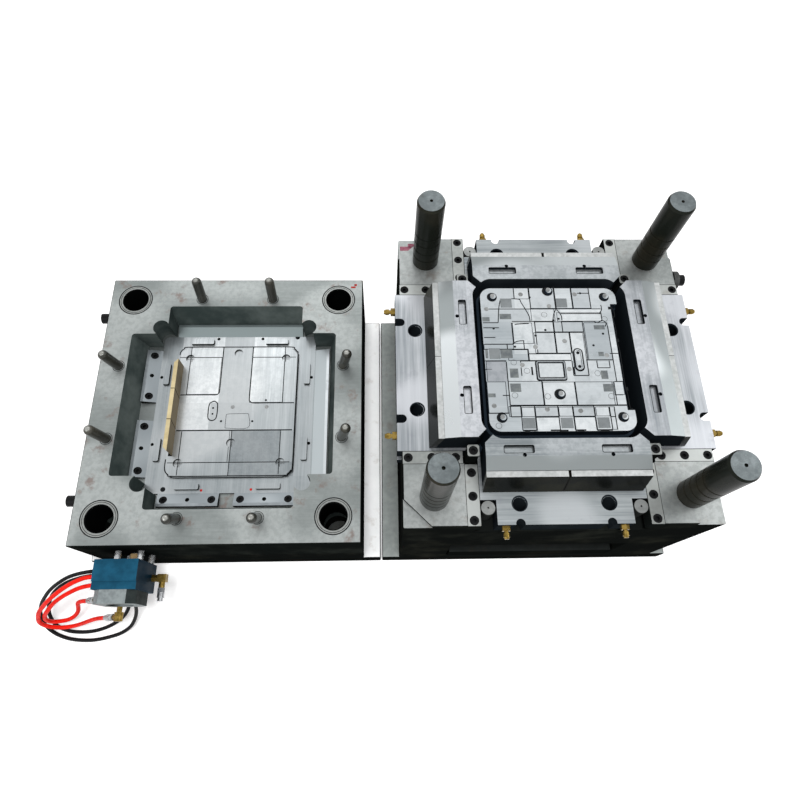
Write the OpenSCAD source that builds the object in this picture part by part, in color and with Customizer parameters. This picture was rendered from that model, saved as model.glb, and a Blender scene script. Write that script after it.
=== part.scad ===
// Two-plate injection mould with four slides, opened and laid out as two halves.
// Left: cavity half, face up. Right: core half, face up, slides run out, ejectors back.

/* [Mould base] */
// How far the open left and right slides stand out of the mould base
tail_proud = 10; // [4:0.5:14]
// How far the open front and back slides stay inside the mould base
tail_cover = 2.5; // [0:0.5:6]
// Width of a clamp plate's ledge outside the mould base
clamp_ledge = 43; // [25:1:60]
// Thickness of both clamp plates
clamp_t = 50; // [40:1:60]
// Gap between the two clamp plates as laid out
layout_gap = 4; // [3:1:60]
// Chamfer along the plates' edges
plate_chamfer = 2; // [1:0.5:4]

/* [Cavity half] */
// Thickness of the hot runner plate
runner_plate_t = 80; // [70:1:100]
// Thickness of the cavity plate
cavity_plate_t = 150; // [144:1:170]
// Depth of the slide pocket below the parting face
pocket_d = 75; // [74:0.5:80]
// Margin of the cavity insert past the left and right slides' land
insert_margin_lr = 1; // [0.5:0.25:2]
// Margin of the cavity insert past the front and back slides' land
insert_margin_fb = 2; // [1:0.25:3]
// Thickness of the cavity insert below its parting land
insert_t = 61; // [58:1:70]
// Radius of the round reliefs at the pocket's inner corners
relief_r = 20; // [19:0.5:22]
// How far the reliefs' centres lie inside the insert's left and right edges
relief_in_x = 12; // [10:0.5:14]
// How far the reliefs' centres lie inside the insert's front and back edges
relief_in_y = 8; // [6:0.5:10]
// Height that the bronze blade stands above the moulding face
blade_h = 43; // [30:1:48]
// Thickness of the bronze blade
blade_t = 10; // [8:0.5:11]
// Length of the bronze blade
blade_l = 244; // [200:1:246]

/* [Core half] */
// Height of the spacer blocks
spacer_h = 176; // [170:1:200]
// Width of each spacer block
spacer_w = 118; // [100:1:120]
// Thickness of the support plate
support_t = 70; // [60:1:80]
// Thickness of the core plate
core_plate_t = 160; // [150:1:180]
// Diameter of the support pillars
pillar_post_d = 60; // [50:1:64]
// Diameter of the ejector rod's hole through the core clamp plate
knock_out_d = 60; // [40:1:70]

/* [Guides] */
// Diameter of the guide pillars
pillar_d = 60; // [50:1:62]
// Length of the guide pillars above the parting face
pillar_out = 206; // [180:1:210]
// Distance of the pillars from the mould base's left and right sides
pillar_edge_x = 63; // [60:1:66]
// Distance of the pillars from the mould base's front and back
pillar_edge_y = 61; // [58:1:64]
// Wall of the guide bushes
bush_wall = 12; // [9:0.5:13]
// Length of the guide bushes
bush_l = 100; // [80:1:120]

/* [Moulded part] */
// Width of the moulded part at the slides
part_w = 312; // [310:0.5:314]
// Length of the moulded part at the slides
part_l = 347; // [345:0.5:349]
// Corner radius of the moulded part
part_r = 30; // [24:1:34]
// Step from the slides' wall in to the core's face
rim_w = 6; // [4:0.5:8]
// Height of the core's face above the parting face
core_raise = 59; // [55:0.5:61]
// Wall thickness between the core's face and the cavity's face
wall_t = 2.5; // [2:0.1:3.5]

/* [Slides] */
// Travel of each slide from open to closed
slide_travel = 12; // [10:0.5:12]
// Height of the slides' land above the parting face
slide_raise = 69; // [66:0.5:71]
// Depth of the slides' channels below the parting face
slide_drop = 56; // [52:1:60]
// Angle of the slides' heel faces
heel_angle = 14; // [13:0.5:15]
// Height of the heel wear plates
heel_h = 60; // [56:1:62]
// Horizontal thickness of the heel wear plates
wear_t = 12.5; // [10:0.5:14]
// Length of the slides' tails
tail_w = 66; // [60:1:68]
// Width of the land on the left and right slides
land_lr = 42; // [40:1:44]
// Width of the sloping band on the left and right slides
band_lr = 31.5; // [28:0.5:34]
// Width of the land on the front and back slides
land_fb = 36; // [34:1:38]
// Width of the sloping band on the front and back slides
band_fb = 27.5; // [24:0.5:30]
// How far a slide's lower body reaches past the moulded part at each side
body_past = 14; // [12:0.5:15]
// How far the raised parts are narrower on each side
shoulder = 6; // [5:0.5:9]
// Width of the ears under the gib strips
ear_w = 8; // [6:0.5:8]
// Height of the ear slots
ear_h = 20; // [16:1:24]

/* [Gib strips] */
// Width of the gib strips
gib_w = 28; // [26:0.5:30]
// Pitch of the gib screws
gib_pitch = 49; // [44:1:50]
// Distance of the first gib screw from the plate's edge
gib_edge = 12; // [11:0.5:14]
// Side of the square corner blocks
corner_block = 24; // [22:0.5:26]
// Height of the corner blocks above the parting face
corner_raise = 45; // [30:1:50]

/* [Angle pins] */
// Angle of the angle pins from the opening direction
pin_angle = 12; // [10:0.5:12.5]
// Diameter of the angle pins
pin_d = 24; // [20:0.5:25]
// Height of the angle pins above the cavity plate
pin_out = 72; // [60:1:76]
// Distance from the heel's foot to the left and right angle pins
pin_back_lr = 20; // [18:0.5:22]
// Distance from the heel's foot to the front and back angle pins
pin_back_fb = 22; // [20:0.5:24]
// Half spacing of the two pins on a left or right slide
pin_half_lr = 95; // [90:1:98]
// Half spacing of the two pins on a front or back slide
pin_half_fb = 91; // [88:1:94]

/* [Ejection] */
// Stroke of the ejector plates
ejector_stroke = 70; // [50:1:80]
// Thickness of the ejector base plate
ejector_base_t = 35; // [30:1:38]
// Thickness of the ejector retainer plate
ejector_retainer_t = 25; // [22:1:28]
// Height of the stop buttons
stop_h = 10; // [6:1:12]
// Diameter of the ejector pins
ejector_pin_d = 10; // [6:0.5:12]
// Diameter of the return pins
return_pin_d = 30; // [24:1:30]
// How far the return pins stand inside the edge of the slides' lower bodies
return_in = 15; // [15:0.5:16]
// Distance of the return pins from the mould base's front and back
return_edge = 37; // [34:1:40]
// Angle of the lifters
lifter_angle = 5; // [4:0.5:6]
// Width of a lifter along the moulded part's edge
lifter_w = 24; // [20:1:26]
// Thickness of a lifter
lifter_t = 22; // [16:1:24]

/* [Water and hydraulics] */
// Width of the core-pull cylinder's body
cyl_w = 98; // [90:1:110]
// Depth of the core-pull cylinder's body
cyl_d = 65; // [60:1:75]
// Height of the core-pull cylinder's body
cyl_h = 120; // [116:1:124]
// Thickness of the cylinder's end cap
cap_t = 30; // [24:1:36]
// Gap between the cylinder's body and the cavity plate
cyl_gap = 23; // [21:0.5:30]
// Diameter of the cylinder's mounting posts
post_d = 14; // [12:0.5:16]
// Diameter of the pull rod
pull_rod_d = 14; // [10:0.5:16]
// Travel of the pull rod
pull_travel = 8; // [5:0.5:8]
// Diameter of the free hoses
hose_d = 12; // [10:0.5:14]

/* [Hidden] */
$fn = 48;

// Clearances: sliding pair, press or location fit, loose hole
slide_gap = 0.3;
fit_gap = 0.05;
loose_gap = 2;
eps = 0.02;

// Slide profile, measured outwards from the mould's centre with the slides closed
heel_run = heel_h * tan(heel_angle);
face_lr = part_w / 2;
face_fb = part_l / 2;
heel_lr = face_lr + land_lr + band_lr + wear_t + heel_run;
heel_fb = face_fb + land_fb + band_fb + wear_t + heel_run;
end_lr = heel_lr + tail_w;
end_fb = heel_fb + tail_w;
band_top = 2;
body_half_lr = face_fb + body_past;
body_half_fb = face_lr + body_past;

// Mould base round the open slides, to whole millimetres, and what stands in it
base_w = 2 * round(end_lr + slide_travel - tail_proud);
base_l = 2 * round(end_fb + slide_travel + tail_cover);
pillar_x = base_w / 2 - pillar_edge_x;
pillar_y = base_l / 2 - pillar_edge_y;
return_y = base_l / 2 - return_edge;
return_x = body_half_fb - return_in;
insert_w = part_w + 2 * (land_lr + insert_margin_lr);
insert_l = part_l + 2 * (land_fb + insert_margin_fb);
relief_x = insert_w / 2 - relief_in_x;
relief_y = insert_l / 2 - relief_in_y;
pin_lr = round(heel_lr) + pin_back_lr;
pin_fb = round(heel_fb) + pin_back_fb;

// Levels of the core half, from the floor up
clamp_w = base_w + 2 * clamp_ledge;
spacer_top = clamp_t + spacer_h;
support_top = spacer_top + support_t;
parting_z = support_top + core_plate_t;
floor_z = parting_z - slide_drop;
shoulder_z = parting_z + core_raise - 25;
core_top = parting_z + core_raise;
ear_z = floor_z + ear_h;

// Levels of the cavity half, and its place beside the core half
cav_x = -(clamp_w + layout_gap);
runner_top = clamp_t + runner_plate_t;
cav_z = runner_top + cavity_plate_t;
pocket_z = cav_z - pocket_d;
land_z = cav_z - slide_raise - slide_gap;
boss_z = cav_z - core_raise - wall_t;
insert_z = land_z - insert_t;

// Angle pin holes in the slides
pin_hole_r = pin_d / 2 + 1.5;
pin_lead = 2;
notch_w = 19;
notch_lr = 116;
notch_fb = 92;
key_l = 59;
key_w = 15;
key_h = 7;
key_v_lr = 102;
key_v_fb = 97.5;
key_in_lr = 24;
key_in_fb = 22;
nipple_v_lr = 150;
nipple_v_fb = 120;
nipple_drop = 13;
nipple_bore = 4;
nipple_hex = 18;
nipple_d = 13;
nipple_neck = 9;
nipple_l = 26;
tail_half_fb = return_x - return_pin_d / 2 - loose_gap;
wide_end_fb = return_y - return_pin_d / 2 - slide_travel - 1;

// Screws: head diameter, head height, shank diameter, socket across corners
screw_head = 18;
screw_head_h = 12;
screw_shank = 12;
screw_grip = 24;
socket_d = 10;

// Run-out groove along a clamp ledge, at the foot of the plate above it
groove_w = 3;
groove_t = 0.5;

// Locating ring, sprue bush and the machine nozzle's seat in it, nozzles
ring_d = 160;
ring_t = 20;
sprue_d = 90;
sprue_neck = 40;
sprue_seat = 30;
runner_d = 8;
nozzle_d = 40;
nozzle_tip = 10;

// Manifold in its pocket in the hot runner plate
manifold_x = -50;
manifold_w = 190;
manifold_l = 100;
manifold_room = 10;
manifold_floor = 20;

// Ejector box
ejector_w = base_w - 2 * spacer_w - 10;
ejector_l = base_l - 4;
ejector_low = clamp_t + stop_h;
retainer_z = ejector_low + ejector_base_t;
ejector_top = retainer_z + ejector_retainer_t;
post_x = 100;
post_y = 70;
pin_head_h = 6;
return_head = 38;
return_head_h = 10;

// Core insert
insert_base_w = part_w + 38;
insert_base_l = part_l + 43;
base_r = 20;

// Places on the moulded part's face, seen on the core: x, y
boss_places = [[-124, 145], [0, 160], [124, 145], [0, -87], [-124, -138], [124, -138]];
boss_r = 11;
ejector_places = [[-60, 152], [60, 152], [-138, 115], [-138, -112], [110, 2], [-30, -120],
    [38, -124], [-40, 22], [24, 36], [26, -30], [-72, -20], [0, 122]];
panel_d = 24;
core_panel_boxes = [[-75, 140, 33, 40], [-41, 116, 55, 60], [15, 116, 37, 60], [53, 116, 39, 60],
    [-42, 84, 52, 31], [14, 84, 98, 22], [-36, 58, 40, 25], [5, 58, 64, 25], [-41, 7, 45, 50],
    [5, 7, 31, 50], [37, -45, 29, 102], [70, -9, 52, 90], [-56, -10, 90, 16], [-42, -54, 61, 41],
    [-100, -10, 43, 26], [-148, -57, 43, 46], [-85, 30, 43, 51], [-150, 17, 64, 12],
    [-105, -111, 70, 54], [-34, -112, 67, 53], [34, -112, 78, 53], [113, -89, 22, 30],
    [-109, -136, 25, 23], [-83, -136, 27, 21], [-55, -136, 47, 21], [-7, -136, 29, 21],
    [23, -136, 45, 21], [69, -136, 28, 21], [98, -165, 10, 50], [-55, -180, 47, 43],
    [23, -180, 45, 43], [-150, -128, 40, 70]];
lifter_front_x = [-70, 7, 82];
lifter_front_y = 23.5 - part_l / 2;
lifter_back_x = [-94, 28];
lifter_back_y = part_l / 2 - 43.5;
lifter_left_x = 28 - part_w / 2;
lifter_left_y = 7;
face_chamfer = 1.2;
boss_pin_l = 30;
boss_pin_low = 1;
boss_tip_d = 9;
boss_tip_out = 7;

// Places on the cavity insert: x, y, width, length
cavity_panel_boxes = [[-123, 43, 81, 105], [37, 20, 84, 128], [-123, -137, 119, 83], [0, -137, 121, 83]];
insert_hole_places = [[-58, 206], [58, 206], [191, 93], [191, -87], [-194, 95], [-194, -87]];
insert_hole_d = 8;
nozzle_places = [[-3, 8], [82, 8]];
wedge_l = 146;
wedge_seat = 20;
wedge_gap = 2;
pocket_run = pocket_d * tan(heel_angle);
wedge_w_lr = heel_lr + slide_gap - pocket_run - wedge_gap - insert_w / 2 - fit_gap;
wedge_w_fb = heel_fb + slide_gap - pocket_run - wedge_gap - insert_l / 2 - fit_gap;
wedge_half_lr = 98;
wedge_half_fb = 91;
wedge_screw = 57;
wedge_screw_z = land_z + 3;
bar_l_lr = 2 * wedge_half_lr + wedge_l;
bar_l_fb = 2 * wedge_half_fb + wedge_l;
blade_x = -144;
blade_y = 2;
blade_foot = 40;

// Mould strap on the core plate's right side
strap_w = 42;
strap_t = 12;
strap_l = 150;
strap_y = base_l / 2 - 106;
strap_drop = 18;
strap_gap = 0.3;
strap_screw_d = 16;

// Core-pull cylinder: lowest corner and rod axis
cyl_x = cav_x - 270;
cyl_z = runner_top;
rod_x = cyl_x + 60;
rod_z = cyl_z + 44;
post_grip = 28;
post_half_x = 26;
post_half_z = 36;
pull_depth = 90;
elbow_z = cyl_z + 20;
elbow_y = -base_l / 2 - cyl_gap - 32;
cap_inset = 2;
cap_front = -base_l / 2 - cyl_gap - cyl_d - cap_t;
coupler_a = [cyl_x + 32, cap_front - 22, cyl_z + 20];
coupler_b = [cyl_x - 8, cap_front + 15, cyl_z + 42];
coupler_l_c = 30;
coupler_out = 24;
coupler_front = 22;
coupler_l_a = 35;
coupler_l_b = 30;
coupler_droop = 35;
elbow_d = 20;
elbow_reach = 17;

// Eyebolt holes
eyebolt_d = 24;
eyebolt_l = 45;
eyebolt_x = 120;
eyebolt_rise = 60;

// Free hoses: route points by hand, the ends lying in their fittings
red_a_path = [[-1010, -402, 205], [-1039, -402, 205], [-1066, -411, 204], [-1091, -424, 199],
    [-1114, -437, 187], [-1135, -449, 172], [-1154, -461, 153], [-1171, -471, 132],
    [-1183, -481, 108], [-1190, -491, 82], [-1184, -498, 56], [-1164, -501, 39],
    [-1137, -499, 36], [-1111, -495, 48], [-1088, -491, 66], [-1065, -487, 86],
    [-1043, -485, 104], [-1021, -485, 120]];
red_b_path = [[-1010, -418, 186], [-1037, -418, 186], [-1064, -423, 182], [-1089, -432, 174],
    [-1112, -442, 163], [-1133, -453, 149], [-1151, -466, 132], [-1166, -476, 112],
    [-1175, -484, 88], [-1174, -488, 64], [-1162, -487, 47], [-1143, -483, 42],
    [-1125, -475, 50], [-1111, -465, 67], [-1103, -456, 88], [-1095, -450, 109],
    [-1079, -448, 129], [-1057, -448, 144]];
black_a_path = [[-1010, -384, 168], [-1044, -384, 168], [-1078, -388, 163], [-1109, -395, 152],
    [-1137, -406, 136], [-1162, -418, 116], [-1183, -432, 94], [-1201, -448, 70],
    [-1212, -468, 45], [-1207, -493, 23], [-1184, -513, 11], [-1153, -525, 7], [-1120, -530, 7],
    [-1086, -530, 7], [-1052, -524, 8], [-1021, -515, 13], [-994, -500, 27], [-977, -480, 49],
    [-968, -462, 76], [-965, -448, 107], [-965, -448, 141]];
black_b_path = [[-1010, -390, 146], [-1042, -390, 146], [-1072, -392, 139], [-1102, -397, 129],
    [-1130, -404, 115], [-1154, -414, 99], [-1175, -429, 80], [-1188, -449, 59],
    [-1192, -472, 38], [-1181, -494, 20], [-1155, -507, 10], [-1124, -511, 7], [-1092, -509, 7],
    [-1062, -501, 8], [-1034, -488, 15], [-1011, -471, 28], [-997, -450, 47], [-989, -430, 70],
    [-985, -416, 99], [-985, -416, 130]];
hose_sides = 10;

steel = "silver";
ground = "gainsboro";
dark = "dimgray";
brass = "goldenrod";

// Rectangle with round corners, centred
module round_rect(w, l, r) {
    square([w - 2 * r, l], center = true);
    square([w, l - 2 * r], center = true);
    for (sx = [-1, 1], sy = [-1, 1])
        translate([sx * (w / 2 - r), sy * (l / 2 - r)]) circle(r);
}

// Plate with all its edges chamfered, centred in X and Y, standing on z
module plate(w, l, t, z) {
    c = plate_chamfer;
    translate([0, 0, z])
    intersection() {
        linear_extrude(t) polygon(cut_corners(w, l, c));
        translate([0, l / 2, t / 2]) rotate([90, 0, 0]) linear_extrude(l) polygon(cut_corners(w, t, c));
        translate([-w / 2, 0, t / 2]) rotate([90, 0, 90]) linear_extrude(w) polygon(cut_corners(l, t, c));
    }
}

function cut_corners(a, b, c) = [[-a / 2 + c, -b / 2], [a / 2 - c, -b / 2], [a / 2, -b / 2 + c],
    [a / 2, b / 2 - c], [a / 2 - c, b / 2], [-a / 2 + c, b / 2], [-a / 2, b / 2 - c], [-a / 2, -b / 2 + c]];

// Box from its low corner, with its top edges chamfered on all four sides
module tile(w, l, t, c) {
    intersection() {
        cube([w, l, t]);
        rotate([90, 0, 0]) translate([0, 0, -l]) linear_extrude(l)
            polygon([[0, 0], [w, 0], [w, t - c], [w - c, t], [c, t], [0, t - c]]);
        rotate([90, 0, 90]) linear_extrude(w)
            polygon([[0, 0], [l, 0], [l, t - c], [l - c, t], [c, t], [0, t - c]]);
    }
}

// Socket head cap screw, its head's top at z = 0
module cap_screw(shank_l) {
    difference() {
        union() {
            translate([0, 0, -screw_head_h]) cylinder(h = screw_head_h, d = screw_head);
            translate([0, 0, -screw_head_h - shank_l]) cylinder(h = shank_l + eps, d = screw_shank);
        }
        translate([0, 0, -6]) cylinder(h = 7, d = socket_d, $fn = 6);
    }
}

// Counterbored hole for a cap screw that is set below z = 0 by sink
module screw_hole(shank_l, sink = 1) {
    translate([0, 0, -screw_head_h - sink]) cylinder(h = screw_head_h + sink + 1, d = screw_head + 1);
    translate([0, 0, -screw_head_h - sink - shank_l - 1]) cylinder(h = shank_l + 2, d = screw_shank + 2 * fit_gap);
}

// Copies at the four corners of a rectangle
module four(x, y) {
    for (sx = [-1, 1], sy = [-1, 1]) translate([sx * x, sy * y, 0]) children();
}

module at_cavity() {
    translate([cav_x, 0, 0]) children();
}

// A hole for an angle pin, or the pin's shank, leaning outwards above z = 0
module leaning(d, up, down) {
    rotate([0, pin_angle, 0]) translate([0, 0, -down]) cylinder(h = down + up, d = d);
}

// Copies at the eight angle pins, each turned so that +X points outwards
module at_angle_pins() {
    for (s = [-1, 1], v = [-1, 1]) {
        rotate([0, 0, s > 0 ? 0 : 180]) translate([pin_lr, v * pin_half_lr, 0]) children();
        rotate([0, 0, s * 90]) translate([pin_fb, v * pin_half_fb, 0]) children();
    }
}

// Cavity half

module ledge_grooves() {
    for (s = [0, 180]) rotate([0, 0, s]) translate([base_w / 2, -base_l, clamp_t - groove_t]) cube([groove_w, 2 * base_l, 2 * groove_t]);
}

module cavity_clamp_plate() {
    color(steel) at_cavity() difference() {
        plate(clamp_w, base_l, clamp_t, 0);
        translate([0, 0, -1]) cylinder(h = ring_t + 1 + fit_gap, d = ring_d + 2 * fit_gap);
        translate([0, 0, ring_t - 10]) cylinder(h = clamp_t, d = sprue_d + 2 * fit_gap);
        ledge_grooves();
    }
}

module locating_ring() {
    color(steel) at_cavity() difference() {
        cylinder(h = ring_t, d = ring_d);
        translate([0, 0, -1]) cylinder(h = ring_t + 2, d = sprue_d + 2 * fit_gap);
    }
}

module sprue_bush() {
    color(steel) at_cavity() difference() {
        union() {
            cylinder(h = clamp_t, d = sprue_d);
            translate([0, 0, clamp_t - eps]) cylinder(h = manifold_floor + eps, d = sprue_neck);
        }
        translate([0, 0, -1]) cylinder(h = sprue_seat + 1, d = nozzle_d);
        cylinder(h = 2 * clamp_t, d = runner_d);
    }
}

module hot_runner_plate() {
    color(steel) at_cavity() difference() {
        plate(base_w, base_l, runner_plate_t, clamp_t);
        translate([manifold_x - manifold_room, -manifold_l / 2 - manifold_room, clamp_t + manifold_floor])
            cube([manifold_w + 2 * manifold_room, manifold_l + 2 * manifold_room, runner_plate_t]);
        translate([0, 0, clamp_t - 1]) cylinder(h = manifold_floor + 2, d = sprue_neck + 2 * fit_gap);
        four(pillar_x, pillar_y) translate([0, 0, clamp_t + 15]) cylinder(h = runner_plate_t, d = pillar_d + 4);
    }
}

module manifold() {
    color("tan") at_cavity() translate([manifold_x, -manifold_l / 2, clamp_t + manifold_floor])
        cube([manifold_w, manifold_l, runner_plate_t - manifold_floor - 2]);
}

module nozzles() {
    color(dark) at_cavity() for (p = nozzle_places) translate([p[0], p[1], 0]) {
        translate([0, 0, runner_top - 2 + fit_gap]) cylinder(h = insert_z - runner_top + 2 - 2 * fit_gap, d = nozzle_d);
        translate([0, 0, insert_z - 1]) cylinder(h = boss_z - insert_z + 1, d = nozzle_tip);
    }
}

// Threaded holes for the eyebolts in a plate's back side, at their core diameter
module eyebolt_holes(z) {
    for (sx = [-1, 1]) translate([sx * eyebolt_x, base_l / 2, z]) rotate([90, 0, 0])
        cylinder(h = 2 * eyebolt_l, d = eyebolt_d - 3, center = true);
}

// Slide pocket of one arm, closed at its outer end by the heel's slope
module pocket_arm(reach, half) {
    top_u = reach + slide_gap;
    low_u = top_u - pocket_d * tan(heel_angle);
    intersection() {
        translate([0, half, 0]) rotate([90, 0, 0]) linear_extrude(2 * half)
            polygon([[-low_u, pocket_z], [low_u, pocket_z], [top_u, cav_z],
                [top_u, cav_z + 1], [-top_u, cav_z + 1], [-top_u, cav_z]]);
        linear_extrude(cav_z + 2) round_rect(2 * top_u, 2 * half, 8);
    }
}

module cavity_plate() {
    color("darkgray") at_cavity() difference() {
        plate(base_w, base_l, cavity_plate_t, runner_top);
        pocket_arm(heel_lr, body_half_lr - shoulder + 4);
        rotate([0, 0, 90]) pocket_arm(heel_fb, body_half_fb - shoulder + 6);
        four(relief_x, relief_y) translate([0, 0, pocket_z]) cylinder(h = pocket_d + 1, r = relief_r);
        translate([0, 0, insert_z]) linear_extrude(cavity_plate_t) round_rect(insert_w + 2 * fit_gap, insert_l + 2 * fit_gap, 12);
        four(pillar_x, pillar_y) {
            translate([0, 0, cav_z - bush_l - fit_gap]) cylinder(h = bush_l + 1, d = pillar_d + 2 * bush_wall + 2 * fit_gap);
            translate([0, 0, runner_top - 1]) cylinder(h = cavity_plate_t, d = pillar_d + 4);
        }
        at_angle_pins() translate([0, 0, cav_z]) leaning(pin_d + 2 * fit_gap, 10, 2 * cavity_plate_t);
        for (p = nozzle_places) translate([p[0], p[1], runner_top - 1]) {
            cylinder(h = cavity_plate_t, d = nozzle_d + 2 * fit_gap);
        }
        wedge_seats();
        for (p = wedge_screw_places()) translate([p[0], p[1], wedge_screw_z - screw_head_h - 2 * screw_grip])
            cylinder(h = 2 * screw_grip, d = screw_shank + 2 * fit_gap);
        for (sy = [-1, 1]) translate([-base_w / 2, sy * strap_y, cav_z - strap_drop]) rotate([0, 90, 0]) cylinder(h = 60, d = strap_screw_d + 2 * fit_gap, center = true);
        for (sx = [-1, 1], sz = [-1, 1]) translate([rod_x - cav_x + sx * post_half_x, -base_l / 2, rod_z + sz * post_half_z])
            rotate([90, 0, 0]) cylinder(h = 40, d = post_d + 2 * fit_gap, center = true);
        translate([rod_x - cav_x, -base_l / 2 + pull_depth / 2, rod_z]) rotate([90, 0, 0]) cylinder(h = pull_depth + 4, d = pull_rod_d + 2 * slide_gap, center = true);
        eyebolt_holes(runner_top + eyebolt_rise);
    }
}

module guide_bushes() {
    color("silver") at_cavity() four(pillar_x, pillar_y) translate([0, 0, cav_z - bush_l]) difference() {
        cylinder(h = bush_l, d = pillar_d + 2 * bush_wall);
        translate([0, 0, -1]) cylinder(h = bush_l + 2, d = pillar_d + 2 * fit_gap);
        translate([0, 0, bush_l - 3]) cylinder(h = 3 + eps, d1 = pillar_d + 2 * fit_gap, d2 = pillar_d + 6);
    }
}

module angle_pins() {
    lean_up = (pin_out - pin_d / 2) / cos(pin_angle);
    color("dimgray") at_cavity() at_angle_pins() intersection() {
        translate([0, 0, cav_z]) {
            leaning(pin_d, lean_up, 2 * cavity_plate_t);
            rotate([0, pin_angle, 0]) translate([0, 0, lean_up]) sphere(d = pin_d);
        }
        translate([-100, -50, runner_top + fit_gap]) cube([200, 100, cavity_plate_t + 100]);
    }
}

// Moulding keys that stand on the insert's land and fit the slides' pockets
module land_keys(z, h, grow) {
    for (s = [0, 180], v = [-1, 1]) {
        rotate([0, 0, s]) translate([face_lr + key_in_lr, v * key_v_lr, z]) linear_extrude(h)
            round_rect(key_w + 2 * grow, key_l + 2 * grow, 3);
        rotate([0, 0, s + 90]) translate([face_fb + key_in_fb, v * key_v_fb, z]) linear_extrude(h)
            round_rect(key_w + 2 * grow, key_l + 2 * grow, 3);
    }
}

module cavity_insert() {
    color(ground) at_cavity() difference() {
        union() {
            translate([0, 0, insert_z]) linear_extrude(insert_t) round_rect(insert_w, insert_l, 12);
            translate([0, 0, land_z - 1]) linear_extrude(boss_z - land_z + 1) round_rect(part_w, part_l, part_r);
            land_keys(land_z - 1, key_h + 1, 0);
        }
        for (b = cavity_panel_boxes) translate([b[0] - fit_gap, b[1] - fit_gap, boss_z - panel_d])
            cube([b[2] + 2 * fit_gap, b[3] + 2 * fit_gap, panel_d + 1]);
        for (p = boss_places) translate([-p[0], p[1], boss_z - 5]) cylinder(h = 6, r = boss_r);
        for (p = insert_hole_places) translate([p[0], p[1], land_z - 20]) cylinder(h = 21, d = insert_hole_d);
        for (p = nozzle_places) translate([p[0], p[1], insert_z - 1]) cylinder(h = 100, d = nozzle_tip + 2 * fit_gap);
        translate([blade_x - blade_t / 2 - fit_gap, blade_y - blade_l / 2 - fit_gap, boss_z - blade_foot])
            cube([blade_t + 2 * fit_gap, blade_l + 2 * fit_gap, blade_foot + 1]);
        for (s = [0, 16]) translate([-52, -10 + s, boss_z - 12]) cylinder(h = 13, d = 5);
    }
}

module cavity_panels() {
    color("whitesmoke") at_cavity() difference() {
        for (b = cavity_panel_boxes) translate([b[0], b[1], boss_z - panel_d]) tile(b[2], b[3], panel_d, face_chamfer);
        for (p = boss_places) translate([-p[0], p[1], boss_z - 5]) cylinder(h = 6, r = boss_r);
        for (p = nozzle_places) translate([p[0], p[1], boss_z - panel_d - 1]) cylinder(h = 100, d = nozzle_tip + 2 * fit_gap);
    }
}

module bronze_blade() {
    third = blade_l / 3;
    color("peru") at_cavity() translate([blade_x, blade_y, boss_z - blade_foot]) intersection() {
        for (i = [-1, 0, 1]) translate([-blade_t / 2, i * third - third / 2 + 0.1, 0])
            cube([blade_t, third - 0.2, blade_foot + blade_h]);
        linear_extrude(blade_foot + blade_h) polygon([[-blade_t / 2, -blade_l / 2 + blade_t], [blade_t / 2, -blade_l / 2],
            [blade_t / 2, blade_l / 2], [-blade_t / 2, blade_l / 2 - blade_t]]);
    }
}

function wedge_u_lr() = insert_w / 2 + fit_gap + wedge_w_lr / 2;
function wedge_u_fb() = insert_l / 2 + fit_gap + wedge_w_fb / 2;
function wedge_screw_places() = concat(
    [for (b = [-1, 1], s = [-1, 1]) [-wedge_u_lr(), b * wedge_half_lr + s * wedge_screw]],
    [for (b = [-1, 1], s = [-1, 1]) [b * wedge_half_fb + s * wedge_screw, -wedge_u_fb()]]);

// A bar under the slides' sloping band, +X outwards, its inner face at the insert
module wedge_bar(u, w, l, crest) {
    top = cav_z - heel_h - 1;
    rotate([90, 0, 0]) translate([0, 0, -l / 2]) linear_extrude(l)
        polygon([[u - w / 2, pocket_z - wedge_seat], [u + w / 2, pocket_z - wedge_seat], [u + w / 2, top],
            [min(crest, u + w / 2 - 1), top], [u - w / 2, land_z]]);
}

// Seats of the wedge blocks and bars in the cavity plate
module wedge_seats() {
    for (s = [-1, 1], b = [-1, 1]) {
        seat(s * wedge_u_lr(), b * wedge_half_lr, wedge_w_lr, wedge_l);
        seat(b * wedge_half_fb, s * wedge_u_fb(), wedge_l, wedge_w_fb);
    }
    seat(wedge_u_lr(), 0, wedge_w_lr, bar_l_lr);
    seat(0, wedge_u_fb(), bar_l_fb, wedge_w_fb);
}

module seat(x, y, w, l) {
    translate([x - w / 2 - fit_gap, y - l / 2 - fit_gap, pocket_z - wedge_seat])
        cube([w + 2 * fit_gap, l + 2 * fit_gap, wedge_seat + 1]);
}

module wedge_blocks() {
    color("lightgray") at_cavity() difference() {
        union() {
            rotate([0, 0, 180]) for (b = [-1, 1]) translate([0, b * wedge_half_lr, 0])
                wedge_bar(wedge_u_lr(), wedge_w_lr, wedge_l, face_lr + land_lr + band_lr);
            rotate([0, 0, -90]) for (b = [-1, 1]) translate([0, b * wedge_half_fb, 0])
                wedge_bar(wedge_u_fb(), wedge_w_fb, wedge_l, face_fb + land_fb + band_fb);
        }
        for (p = wedge_screw_places()) translate([p[0], p[1], wedge_screw_z]) {
            screw_hole(screw_grip, 0);
            cylinder(h = cav_z - heel_h - wedge_screw_z, d = screw_head + 1);
        }
        for (b = [-1, 1]) {
            translate([-wedge_u_lr(), b * wedge_half_lr, pocket_z - 8]) cylinder(h = 30, d = 10);
            translate([b * wedge_half_fb, -wedge_u_fb(), pocket_z - 8]) cylinder(h = 30, d = 10);
        }
    }
}

module locking_bars() {
    color("lightgray") at_cavity() {
        wedge_bar(wedge_u_lr(), wedge_w_lr, bar_l_lr, face_lr + land_lr + band_lr);
        rotate([0, 0, 90]) wedge_bar(wedge_u_fb(), wedge_w_fb, bar_l_fb, face_fb + land_fb + band_fb);
    }
}

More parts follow.
